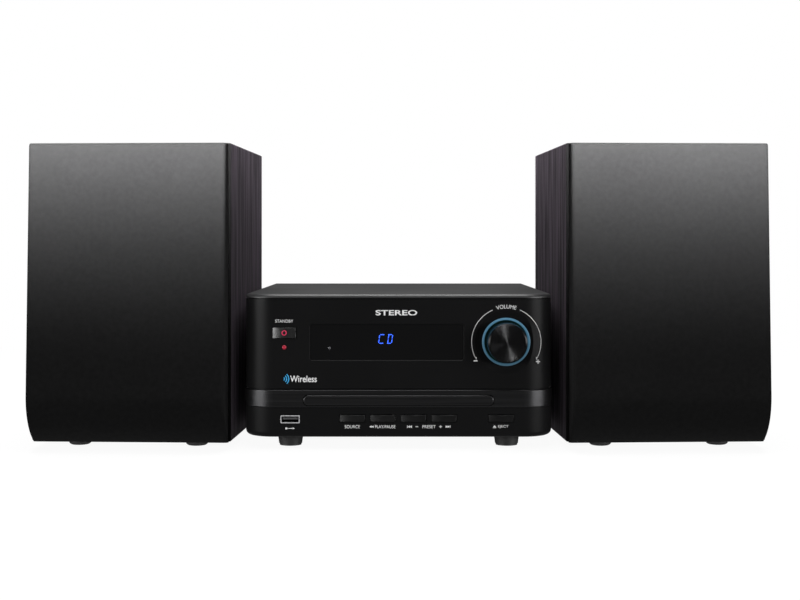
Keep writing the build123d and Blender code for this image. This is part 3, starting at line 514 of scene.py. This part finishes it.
def spun_black(graph):
    """Turned face: fine rings that tip the surface towards and away from the knob's middle.

    The tip is 0.16 (sin ar + sin br) along the radius, r being the distance from the middle, and a
    and b giving rings 0.30 and 0.13 mm apart.
    """
    place, _ = spot(graph)
    out = vector_maths(graph, "SUBTRACT", place, (knob_at[0], 0, knob_at[1]))
    out = vector_maths(graph, "MULTIPLY", out, (1, 0, 1))
    far = vector_maths(graph, "LENGTH", out, output=1)
    away = vector_maths(graph, "NORMALIZE", out)
    rings = (far * 21000).sine() * 0.16 + (far * 47000).sine() * 0.16
    turn = graph.node(
        "ShaderNodeVectorTransform",
        {"vector_type": "VECTOR", "convert_from": "OBJECT", "convert_to": "WORLD"},
        vector_maths(graph, "SCALE", away, Scale=rings),
    )
    facing = graph.node("ShaderNodeNewGeometry", output=1)
    tone = rings.ramp(-0.3, 0.3)
    return finish_of(
        graph,
        Base_Color=tint(graph, tone, (0.007, 0.007, 0.0073), (0.012, 0.012, 0.0125)),
        Metallic=0.9,
        Roughness=0.2,
        Normal=vector_maths(graph, "NORMALIZE", vector_maths(graph, "ADD", facing, turn)),
    )


def bright_cut(graph):
    place, _ = spot(graph)
    return finish_of(
        graph,
        Base_Color=(0.55, 0.55, 0.57, 1),
        Metallic=1.0,
        Roughness=grain(graph, place, 400).ramp(0.3, 0.7, 0.10, 0.2),
    )


knob_low, knob_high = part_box("volume_knob")
knob_at = ((knob_low.x + knob_high.x) / 2, (knob_low.z + knob_high.z) / 2)
knob_r = (knob_high.x - knob_low.x) / 2
face_y, skirt_y = knob_low.y, fascia_y + 0.0009
cut = 0.0008
shoulder = [
    (face_y + cut + 0.0004 * (1 - np.cos(t)), knob_r - 0.0006 + 0.0003 * np.sin(t))
    for t in np.linspace(0, pi / 2, 7)
]
knob_profile = [
    (face_y + 0.0004, 0),
    (face_y + 0.0002, knob_r - 0.0034),
    (face_y, knob_r - 0.0018),
    (face_y, knob_r - 0.0014),
    *shoulder,
    (face_y + 0.003, knob_r - 0.0002),
    (skirt_y - 0.0003, knob_r),
    (skirt_y, knob_r - 0.0003),
    (skirt_y, knob_r - 0.0024),
    (face_y + 0.005, knob_r - 0.0024),
    (face_y + 0.005, 0.005),
    (fascia_y - 0.002, 0.005),
    (fascia_y - 0.002, 0.003),
    (knob_high.y, 0.003),
    (knob_high.y, 0),
]
knob = lathe("spun_volume_knob", knob_at, knob_profile, 256)
knob.data.materials.append(material("spun_black_metal", spun_black))
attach(knob, "volume_knob")
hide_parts("volume_knob")
edge = lathe(
    "knob_cut_edge",
    knob_at,
    [
        (face_y, knob_r - 0.0015),
        (face_y + cut + 0.0001, knob_r - 0.0005),
        (face_y + cut + 0.0003, knob_r - 0.0008),
        (face_y + 0.0003, knob_r - 0.0017),
        (face_y, knob_r - 0.0015),
    ],
    256,
)
edge.data.materials.append(material("bright_cut_edge", bright_cut))
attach(edge, "volume_knob")


def ring_glow_painted_top(graph):
    """Blue light pipe, glowing; its glow is paler at the top, which is painted light from above."""
    place, (_, _, z) = spot(graph)
    ring_r = 0.0168
    # painted light: the ring's glow turns paler towards its top
    top = z.ramp(knob_at[1] - ring_r, knob_at[1] + ring_r)
    return finish_of(
        graph,
        Base_Color=(0.015, 0.04, 0.06, 1),
        Roughness=0.5,
        Emission_Color=tint(graph, top, (0.035, 0.10, 0.15), (0.09, 0.27, 0.42)),
        Emission_Strength=0.55,
    )


dress("knob_light_ring", material("ring_glow_painted_top", ring_glow_painted_top))


# ---------------------------------------------------------------- printed marks
# Pad-printed words and symbols in pale grey ink, 0.05 mm proud of the fascia. All are generic.
ink_proud, ink_thick = 0.00005, 0.0001
ink_front = fascia_y - ink_proud


def pale_ink(graph):
    place, _ = spot(graph)
    return finish_of(
        graph,
        Base_Color=tint(graph, grain(graph, place, 800), (0.60, 0.60, 0.60), (0.72, 0.72, 0.72)),
        Roughness=0.5,
    )


ink = material("pale_ink", pale_ink)


def arc_band(x, z, radius, width, start, end, steps=40, front=ink_front):
    """A stretch of ring: angles in degrees anticlockwise from the right."""
    turn = np.radians(np.linspace(start, end, steps))
    ray = np.column_stack([np.cos(turn), np.sin(turn)])
    outer, inner = (ray * (radius + side * width / 2) + (x, z) for side in (1, -1))
    middle = (outer + inner) / 2
    loop = np.concatenate([outer, inner[::-1]])
    return prism("arc", loop, np.concatenate([middle, middle[::-1]]), front, ink_thick)


def triangle(name, corners, inner):
    """A flat triangle of ink, with the inner point its faces meet at."""
    return prism(name, corners, np.repeat([inner], 3, axis=0), ink_front, ink_thick)


def wedge(x, z, width, height, point=1):
    """A triangle pointing right (1) or left (-1)."""
    w, h = width / 2, height / 2
    corners = [(x - point * w, z - h), (x + point * w, z), (x - point * w, z + h)]
    return triangle("wedge", corners, (x - point * w / 3, z))


def flag(x, z, width, height):
    """A triangle pointing up."""
    w, h = width / 2, height / 2
    return triangle("flag", [(x - w, z - h), (x + w, z - h), (x, z + h)], (x, z - h / 3))


def block(x, z, width, height):
    """A rectangle of ink."""
    return bar(x, z, width, height, ink_front, ink_thick)


def word(text, x, z, width, height, bold=0.0, round_about=None):
    """A word in the plain built-in face, fitted to a width and a height about its middle.

    With round_about, a centre in x and z, the word is bent onto the circle through (x, z), each
    point's place along the word being an arc and its height above the word's middle a radius.
    """
    curve = bpy.data.curves.new(text, "FONT")
    curve.body = text
    curve.extrude = 0.5
    curve.offset = bold
    typed = bpy.data.objects.new(text, curve)
    scene.collection.objects.link(typed)
    bpy.context.view_layer.update()
    mesh = bpy.data.meshes.new_from_object(typed)
    bpy.data.objects.remove(typed)
    flat = np.zeros(len(mesh.vertices) * 3)
    mesh.vertices.foreach_get("co", flat)
    along, rise, deep = flat.reshape(-1, 3).T
    along = (along - (along.min() + along.max()) / 2) * width / np.ptp(along)
    rise = (rise - (rise.min() + rise.max()) / 2) * height / np.ptp(rise)
    deep = 0.5 - deep / np.ptp(deep)
    if round_about:
        radius = np.hypot(x - round_about[0], z - round_about[1])
        angle = np.arctan2(z - round_about[1], x - round_about[0]) - along / radius
        place_x = round_about[0] + (radius + rise) * np.cos(angle)
        place_z = round_about[1] + (radius + rise) * np.sin(angle)
    else:
        place_x, place_z = x + along, z + rise
    points = np.column_stack([place_x, ink_front + deep * ink_thick, place_z])
    mesh.vertices.foreach_set("co", points.ravel())
    made = bpy.data.objects.new("word", mesh)
    scene.collection.objects.link(made)
    tidy_mesh(made)
    return made


# two arcs round the knob, each ending in an arrow tip over its minus or plus
knob_x, knob_z = knob_at
arc_r, arc_width = 0.0242, 0.00034
sign_length, sign_width = 0.0028, 0.0007
marks = [
    arc_band(knob_x, knob_z, arc_r, arc_width, 113, 209),
    arc_band(knob_x, knob_z, arc_r, arc_width, -29, 67),
    block(knob_x - 0.0214, knob_z - 0.0131, sign_length, sign_width),
    block(knob_x + 0.0221, knob_z - 0.0136, sign_length, sign_width),
    block(knob_x + 0.0221, knob_z - 0.0136, sign_width, sign_length),
    word("VOLUME", knob_x, knob_z + 0.0247, 0.0141, 0.0027, round_about=knob_at),
]
for side in (-1, 1):
    tip = np.array([(0.0004 * side, -0.0010), (0.0016 * side, 0.0012), (0.0001 * side, 0.0010)])
    tip += (knob_x + side * 0.0205, knob_z - 0.0116)
    marks.append(triangle("arrow", tip, tip.mean(axis=0)))
join("volume_marks", marks, ink, "receiver")

stereo = word("STEREO", -0.0015, window_high.z + 0.0083, 0.0290, 0.0037, bold=0.02)
join("stereo_word", [stereo], ink, "receiver")

button_low, button_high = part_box("standby_button")
button_x, button_z = (button_low.x + button_high.x) / 2, (button_low.z + button_high.z) / 2
standby_word = word("STANDBY", button_x, button_z + 0.0082, 0.0125, 0.0021)
join("standby_mark", [standby_word], ink, "receiver")
# The ring on the standby button is a printed mark, no lamp: its glow is painted light.
red = material("standby_red_painted_glow", lit((0.50, 0.03, 0.08), 0.30))
button_front = button_low.y - ink_proud
ring_mark = arc_band(button_x, button_z, 0.0015, 0.0006, 0, 360, 48, front=button_front)
join("standby_ring_mark", [ring_mark], red, "standby_button")
dress("standby_led", material("led_red", lit((0.30, 0.012, 0.03), 0.20)))

waves_x, waves_z = -0.0775, 0.0486
waves = [
    arc_band(waves_x - 0.0034, waves_z, 0.0014 + 0.0015 * step, 0.0007, -48, 48, 16)
    for step in range(3)
]
# The wireless mark is printed ink, no lamp: its blue glow is painted light.
blue_ink_painted_glow = material("blue_ink_painted_glow", lit((0.03, 0.22, 0.42), 0.5))
join("wireless_mark", waves, blue_ink_painted_glow, "receiver")
wireless = word("Wireless", waves_x + 0.0112, waves_z, 0.0186, 0.0046, bold=0.012)
join("wireless_word", [wireless], ink, "receiver")

usb_low, usb_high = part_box("usb_socket")
usb_x, usb_z = (usb_low.x + usb_high.x) / 2, (usb_low.z + usb_high.z) / 2
join(
    "usb_mark",
    [
        block(usb_x, usb_z - 0.0063, 0.0046, 0.0004),
        wedge(usb_x + 0.0026, usb_z - 0.0063, 0.0014, 0.0014),
        block(usb_x - 0.0026, usb_z - 0.0063, 0.0013, 0.0013),
    ],
    ink,
    "receiver",
)

key_x = {}
for name in key_names:
    low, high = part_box(f"{name}_button")
    key_x[name] = (low.x + high.x) / 2
mark_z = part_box("source_button")[0].z - 0.0028
play_x, preset_x = key_x["play"], (key_x["previous"] + key_x["next"]) / 2
letter_h = 0.0022
key_marks = [
    word("SOURCE", key_x["source"], mark_z, 0.0106, letter_h),
    wedge(play_x - 0.0087, mark_z, 0.0016, 0.0017, -1),
    wedge(play_x - 0.0073, mark_z, 0.0016, 0.0017, -1),
    word("PLAY/PAUSE", play_x + 0.0016, mark_z, 0.0142, letter_h),
    word("PRESET", preset_x + 0.0002, mark_z, 0.0092, letter_h),
    block(preset_x - 0.0083, mark_z, 0.0018, 0.0005),
    block(preset_x + 0.0083, mark_z, 0.0019, 0.0005),
    block(preset_x + 0.0083, mark_z, 0.0005, 0.0019),
    word("EJECT", key_x["eject"] + 0.0016, mark_z, 0.0072, letter_h),
    flag(key_x["eject"] - 0.0045, mark_z + 0.0004, 0.0022, 0.0012),
    block(key_x["eject"] - 0.0045, mark_z - 0.0007, 0.0022, 0.0004),
]
for side in (-1, 1):
    skip_x = preset_x + side * 0.0132
    key_marks += [
        wedge(skip_x - 0.0007, mark_z, 0.0015, 0.0018, side),
        wedge(skip_x + 0.0007, mark_z, 0.0015, 0.0018, side),
        block(skip_x + side * 0.0017, mark_z, 0.0004, 0.0018),
    ]
join("key_marks", key_marks, ink, "receiver")


# ---------------------------------------------------------------- feet, socket and rear fittings
# Moulded rubber feet, the socket's plated shell and tongue, zinc-plated steel and black screws.
def rubber(graph):
    place, _ = spot(graph)
    bloom = grain(graph, place, 120)
    return finish_of(
        graph,
        Base_Color=tint(graph, bloom, (0.004, 0.004, 0.004), (0.008, 0.008, 0.008)),
        Roughness=bloom.ramp(0.3, 0.7, 0.5, 0.65),
        Normal=bumped(graph, grain(graph, place, 1500), 0.00002),
    )


feet_rubber = material("feet_rubber", rubber)
for node in ("receiver_feet", "left_speaker_feet", "right_speaker_feet"):
    dress(node, feet_rubber)


def zinc_plate(graph):
    place, _ = spot(graph)
    mottle = grain(graph, place, 60)
    return finish_of(
        graph,
        Base_Color=tint(graph, mottle, (0.42, 0.43, 0.44), (0.58, 0.59, 0.60)),
        Metallic=1.0,
        Roughness=mottle.ramp(0.3, 0.7, 0.28, 0.42),
    )


zinc = material("zinc_plate", zinc_plate)
for node in ("receiver_chassis", "pickup_frame", "loading_motor", "volume_encoder", "rear_jacks"):
    dress(node, zinc)


def socket_metal(graph):
    """Bright plated metal at the socket's mouth and tongue front, going dark past the mouth:
    painted shade inside the socket.
    """
    place, (_, y, _) = spot(graph)
    # painted shade: the colour turns near black inside the socket, past its front
    throat_shade = y.ramp(fascia_y + 0.0001, fascia_y + 0.0008)
    return finish_of(
        graph,
        Base_Color=tint(graph, throat_shade, (0.50, 0.50, 0.51), (0.008, 0.008, 0.0085)),
        Metallic=0.35,
        Roughness=grain(graph, place, 300).ramp(0.3, 0.7, 0.35, 0.5),
    )


dress("usb_socket", material("socket_metal", socket_metal))


def blackened(graph):
    place, _ = spot(graph)
    return finish_of(
        graph,
        Base_Color=(0.02, 0.02, 0.021, 1),
        Metallic=0.6,
        Roughness=grain(graph, place, 500).ramp(0.3, 0.7, 0.3, 0.45),
    )


screw_black = material("blackened_steel", blackened)
dress("receiver_screws", screw_black)
for part in ("driver_screws", "woofer_basket"):
    dress(f"left_{part}", screw_black)
    dress(f"right_{part}", screw_black)


# ---------------------------------------------------------------- insides
# Green boards with copper under the mask, moulded loader parts, and black components.
def green_board(graph):
    place, _ = spot(graph)
    tracks = grain(graph, place, 90, 1, (1, 1, 0.2)) > 0.52
    return finish_of(
        graph,
        Base_Color=tint(graph, tracks, (0.006, 0.05, 0.022), (0.012, 0.09, 0.04)),
        Roughness=0.35,
        Normal=bumped(graph, tracks, 0.00003),
    )


def plain_plastic(low, high):
    """A moulded plastic between two close tones."""
    def build(graph):
        place, _ = spot(graph)
        cloud = grain(graph, place, 40)
        return finish_of(
            graph,
            Base_Color=tint(graph, cloud, low, high),
            Roughness=cloud.ramp(0.3, 0.7, 0.42, 0.55),
            Normal=bumped(graph, grain(graph, place, 1400), 0.00002),
        )
    return build


board = material("green_board", green_board)
for node in ("front_boards", "main_board", "power_supply"):
    dress(node, board)
dark_parts = ("display_module", "tact_switches", "mains_inlet", "turntable", "laser_sled")
for name, low, high, dressed in (
    ("dark_component", (0.015,) * 3, (0.024,) * 3, (*dark_parts, "left_tweeter", "right_tweeter")),
    ("grey_moulding", (0.06, 0.06, 0.065), (0.08, 0.08, 0.085), ("loader_frame",)),
    ("tray_moulding", (0.012, 0.012, 0.013), (0.018, 0.018, 0.019), ("disc_tray",)),
    (
        "natural_acetal",
        (0.55, 0.53, 0.46),
        (0.66, 0.64, 0.56),
        ("tray_gear", "motor_pulley", "disc_clamper"),
    ),
):
    plastic = material(name, plain_plastic(low, high))
    for node in dressed:
        dress(node, plastic)
dress("drive_belt", feet_rubber)
for part in ("woofer_surround", "lead_gland"):
    dress(f"left_{part}", feet_rubber)
    dress(f"right_{part}", feet_rubber)


def bare_alloy(graph):
    place, _ = spot(graph)
    drawn = grain(graph, place, 500, 2, (1, 1, 0.03))
    return finish_of(
        graph,
        Base_Color=(0.62, 0.62, 0.64, 1),
        Metallic=1.0,
        Roughness=drawn.ramp(0.3, 0.7, 0.3, 0.45),
    )


dress("heatsink", material("extruded_alloy", bare_alloy))


def cone_paper(graph):
    place, _ = spot(graph)
    fibre = grain(graph, place, 260, 4)
    return finish_of(
        graph,
        Base_Color=tint(graph, fibre, (0.012, 0.012, 0.012), (0.026, 0.026, 0.026)),
        Roughness=0.75,
        Normal=bumped(graph, fibre, 0.00015),
    )


paper_black = material("pulp_cone", cone_paper)
for node in ("left_woofer_cone", "right_woofer_cone"):
    dress(node, paper_black)


# ---------------------------------------------------------------- speaker cabinets
# Fibreboard folded at mitres in one sheet of black ash foil, so its edges are slightly round.
def ash_foil(graph):
    """Black ash: long dark pores up the sides, and front to back over the top and bottom."""
    upright, (x, y, z) = spot(graph)
    *_, level = graph.split(graph.node("ShaderNodeTexCoord", None, output=1))
    lying = graph.node("ShaderNodeCombineXYZ", None, x, z, y)
    place = graph.node("ShaderNodeMix", {"data_type": "VECTOR"}, level.absolute() > 0.7, output=1)
    graph.fill(place.socket.node.inputs[4], upright)
    graph.fill(place.socket.node.inputs[5], lying)
    wander = grain(graph, place, 18, 2, (1, 1, 0.12))
    pores = grain(graph, place, 700, 5, (1, 1, 0.03))
    figure = grain(graph, place, 250, 5, (1, 1, 0.045))
    dark = (pores * 0.35 + figure * 0.65).ramp(0.41, 0.60)
    front_edge_shade = graph.node("ShaderNodeAttribute", {"attribute_name": "front_edge_shade"}, output=2)
    # painted shade: the front edge, where the grille meets the cabinet, is made black and a little
    # rougher
    shade = (dark * 0.8 + wander * 0.2) * (1 - front_edge_shade)
    return finish_of(
        graph,
        Base_Color=tint(graph, shade, (0.0010, 0.0008, 0.0010), (0.084, 0.066, 0.085)),
        Roughness=shade.ramp(0.0, 1.0, 0.72, 0.58) + front_edge_shade * 0.28,
        Specular_IOR_Level=0.25,
        Normal=bumped(graph, dark, 0.00022),
    )


ash = material("black_ash_foil", ash_foil)
for node in ("left_baffle", "right_baffle"):
    dress(node, ash)


def speaker_axes(side):
    """Across, deep and up directions of a speaker, from the way its grille pulls off."""
    forward = np.array(joint[f"{side}_grille_pull"]["axis"], float)
    deep = -forward / np.linalg.norm(forward)
    across = np.array([deep[1], -deep[0], 0])
    return np.stack([across, deep, [0, 0, 1]])


def own_box(node, axes):
    """A node's lowest and highest corners along the speaker's own directions."""
    flat = np.zeros(len(nodes[node].data.vertices) * 3)
    nodes[node].data.vertices.foreach_get("co", flat)
    along = flat.reshape(-1, 3) @ axes.T
    return along.min(axis=0), along.max(axis=0)


def rounded_loop(half_w, half_h, radius, steps=5):
    """Points round a rectangle with round corners, anticlockwise, from the lower right."""
    turn = np.linspace(0, pi / 2, steps)
    loops = []
    for quarter, (sx, sz) in enumerate(((1, -1), (1, 1), (-1, 1), (-1, -1))):
        angle = turn + (quarter - 1) * pi / 2
        loops.append(
            np.column_stack([
                sx * (half_w - radius) + radius * np.cos(angle),
                sz * (half_h - radius) + radius * np.sin(angle),
            ])
        )
    return np.concatenate(loops)


foil_r, wall = 0.0009, 0.009
for side in ("left", "right"):
    axes = speaker_axes(side)
    low, high = own_box(f"{side}_cabinet", axes)
    middle = (low + high) / 2
    half_w, half_h = (high[0] - low[0]) / 2, (high[2] - low[2]) / 2
    # (depth, how far inside the outer face): round the back edge, run forward, round the front
    # edge, then back along the inside to the back panel.
    bow = np.linspace(0, pi / 2, 5)
    run, inset = foil_r * np.sin(bow), foil_r * (1 - np.cos(bow))
    outline = [
        *zip(high[1] - foil_r + run[::-1], inset[::-1]),
        *zip(low[1] + foil_r - run, inset),
        (low[1], wall - 0.0004),
        (low[1] + 0.0004, wall),
        (high[1] - wall, wall),
    ]
    rings = []
    for depth, inside in outline:
        corner = max(foil_r - inside, 0.0002) + 0.0001
        across, up = rounded_loop(half_w - inside, half_h - inside, corner).T
        rings.append(np.column_stack([middle[0] + across, 0 * up + depth, middle[2] + up]))
    count = len(rings[0])
    back = np.tile([middle[0], high[1], middle[2]], (count, 1))
    inner_back = np.tile([middle[0], high[1] - wall, middle[2]], (count, 1))
    shell = surface(f"{side}_foil_cabinet", np.stack([back, *rings, inner_back]) @ axes)
    shell.data.materials.append(ash)
    # the edge round the front, which the grille sits on, is coloured dead black: painted shade for
    # the dark gap between grille and cabinet
    flat = np.zeros(len(shell.data.vertices) * 3)
    shell.data.vertices.foreach_get("co", flat)
    depth = flat.reshape(-1, 3) @ axes[1]
    front_edge_shade = shell.data.attributes.new("front_edge_shade", "FLOAT", "POINT")
    front_edge_shade.data.foreach_set("value", (depth < low[1] + foil_r * 0.75).astype(np.float32))
    smooth = shell.modifiers.new("flat_panels", "WEIGHTED_NORMAL")
    smooth.keep_sharp = True
    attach(shell, f"{side}_speaker")
    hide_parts(f"{side}_cabinet")


# ---------------------------------------------------------------- grilles
# Black polyester cloth stretched over a moulded frame and glued behind it, fine and even.
def knit_cloth(graph):
    """A fine knit on the cloth's own UV, lighter where the threads catch the light."""
    place, _ = spot(graph)
    u, v, _ = graph.split(graph.node("ShaderNodeTexCoord", None, output=2))
    threads = 2 * pi / 0.0008
    weave = (u * threads).sine() * (v * threads).sine()
    slub = grain(graph, place, 320, 4)
    cloud = grain(graph, place, 9, 2)
    shade = weave * 0.16 + slub * 0.55 + cloud * 0.25
    return finish_of(
        graph,
        Base_Color=tint(graph, shade, (0.013, 0.013, 0.0132), (0.031, 0.031, 0.0314)),
        Roughness=0.85,
        Specular_IOR_Level=0.06,
        Normal=bumped(graph, weave * 0.5 + slub, 0.00012),
    )


cloth = material("grille_knit", knit_cloth)
frame_plastic = material("grille_moulding", plain_plastic((0.010,) * 3, (0.016,) * 3))
edge_r, belly_z = 0.0026, 0.039
for side in ("left", "right"):
    axes = speaker_axes(side)
    low, high = own_box(f"{side}_grille_cloth", axes)
    dress(f"{side}_grille_frame", frame_plastic)
    # depths of the cloth's back edge, of its face at the top and at its fullest, and of its toe
    back = high[1] - 0.0002
    brow = back - (0.0135 - 0.0008) + 0.0002
    belly, toe = low[1], back - 0.0022
    top, foot = high[2], low[2]
    # side view of the front: up under the toe, round the belly, up the lean, over the brow
    lean = np.array([belly - brow, belly_z - top])
    lean /= np.linalg.norm(lean)
    normal = np.array([-lean[1], lean[0]])
    start = np.array([belly, belly_z])
    end = np.array([toe, foot])
    gap = end - start
    radius = gap @ gap / (2 * gap @ normal)
    centre = start + normal * radius
    first = np.arctan2(*(start - centre)[::-1])
    last = np.arctan2(*(end - centre)[::-1])
    last = last + 2 * pi if last < first else last
    sweep = np.linspace(last, first, 40)
    curl = centre + abs(radius) * np.column_stack([np.cos(sweep), np.sin(sweep)])
    rise = np.linspace(0, 1, 60)[1:, None]
    front_line = start + (np.array([brow, top - edge_r]) - start) * rise
    bow = np.linspace(0, pi / 2, 8)[1:]
    crest = np.column_stack([
        brow + edge_r * (1 - np.cos(bow)), top - edge_r + edge_r * np.sin(bow)
    ])
    foot_end, top_end = [[back, foot + 0.0002]], [[back, top - 0.0001]]
    spine = np.concatenate([foot_end, curl, front_line, crest, top_end])
    # across the front: back edge, round the side, over the face, round the other side, back edge
    half = (high[0] - low[0]) / 2
    middle = (low[0] + high[0]) / 2
    bow = np.linspace(0, pi / 2, 7)
    turn = np.column_stack([-half + edge_r * (1 - np.cos(bow)), edge_r * (1 - np.sin(bow))])
    flat_x = np.linspace(-half + edge_r, half - edge_r, 40)[1:-1]
    flat_run = np.column_stack([flat_x, 0 * flat_x])
    wrap = np.concatenate([turn, flat_run, (turn * [-1, 1])[::-1]])
    depth_share = np.clip((back - spine[:, 0]) / edge_r - 0.02, 0, 1)
    x = np.repeat((middle + wrap[:, 0])[None, :], len(spine), axis=0)
    y = spine[:, 0][:, None] + wrap[:, 1][None, :] * depth_share[:, None]
    z = np.repeat(spine[:, 1][:, None], len(wrap), axis=1)
    edge_y = np.full((len(spine), 1), back)
    x = np.hstack([x[:, :1], x, x[:, -1:]])
    y = np.hstack([edge_y, y, edge_y])
    z = np.hstack([z[:, :1], z, z[:, -1:]])
    grid = np.stack([x, y, z], axis=-1)
    # the cloth's own plan: runs along its middle row and up its spine, in metres
    across, up = np.hypot(*np.diff([x[60], y[60]])), np.hypot(*np.diff(spine.T))
    along_u, along_v = np.append(0, np.cumsum(across)), np.append(0, np.cumsum(up))
    quads = grid_quads(*grid.shape[:2])
    mesh = bpy.data.meshes.new(f"{side}_grille_cover")
    mesh.from_pydata((grid @ axes).reshape(-1, 3).tolist(), [], quads.tolist())
    uv = mesh.uv_layers.new(name="cloth")
    plan = np.stack(np.meshgrid(along_u, along_v), axis=-1)
    uv.data.foreach_set("uv", plan.reshape(-1, 2)[quads.reshape(-1)].ravel())
    mesh.shade_smooth()
    cover = bpy.data.objects.new(f"{side}_grille_cover", mesh)
    scene.collection.objects.link(cover)
    mesh.materials.append(cloth)
    thick = cover.modifiers.new("cloth_thickness", "SOLIDIFY")
    thick.thickness = 0.0005
    thick.offset = -1
    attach(cover, f"{side}_grille")
    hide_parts(f"{side}_grille_cloth")


# ---------------------------------------------------------------- flags on the lamps
# Black flags keep the front banks off the receiver, and the side strips off both speakers.
def linked_set(name, pieces):
    """A collection of pieces for a lamp to be linked to."""
    made = bpy.data.collections.new(name)
    for piece in pieces:
        made.objects.link(piece)
    return made


speaker_skins, speaker_parts = [], []
for side in ("left", "right"):
    for part in ("foil_cabinet", "grille_cover"):
        speaker_skins.append(bpy.data.objects[f"{side}_{part}"])
    for part in ("baffle", "grille_frame"):
        speaker_parts.append(nodes[f"{side}_{part}"])
lit_by_banks = linked_set("lit_by_banks", speaker_skins)
clear_of_strips = linked_set("clear_of_strips", speaker_skins + speaker_parts)
for row in clear_of_strips.collection_objects:
    row.light_linking.link_state = "EXCLUDE"
for bank in front_banks:
    bank.light_linking.receiver_collection = lit_by_banks
for strip in strips:
    strip.light_linking.receiver_collection = clear_of_strips
    strip.light_linking.blocker_collection = clear_of_strips

# A small lamp reaches only the knob: its turned face answers with two bright wedges.
knob_lamp = soft_box(
    "knob_lamp",
    (knob_x - 0.027, fascia_y - 0.8, knob_z + 0.283),
    (knob_x, face_y, knob_z),
    (0.07, 0.2),
    4.5,
)
knob_lamp.light_linking.receiver_collection = linked_set("lit_by_knob_lamp", [knob, edge])

# A second one, to the left, lights only the rounded left ends of the keys.
key_place, key_aim = (-0.54, fascia_y - 0.8, 0.11), (0, fascia_y, 0.03)
key_lamp = soft_box("key_lamp", key_place, key_aim, (0.30, 0.22), 4)
keys = [nodes[f"{name}_button"] for name in ("standby", *key_names)]
key_lamp.light_linking.receiver_collection = linked_set("lit_by_key_lamp", keys)
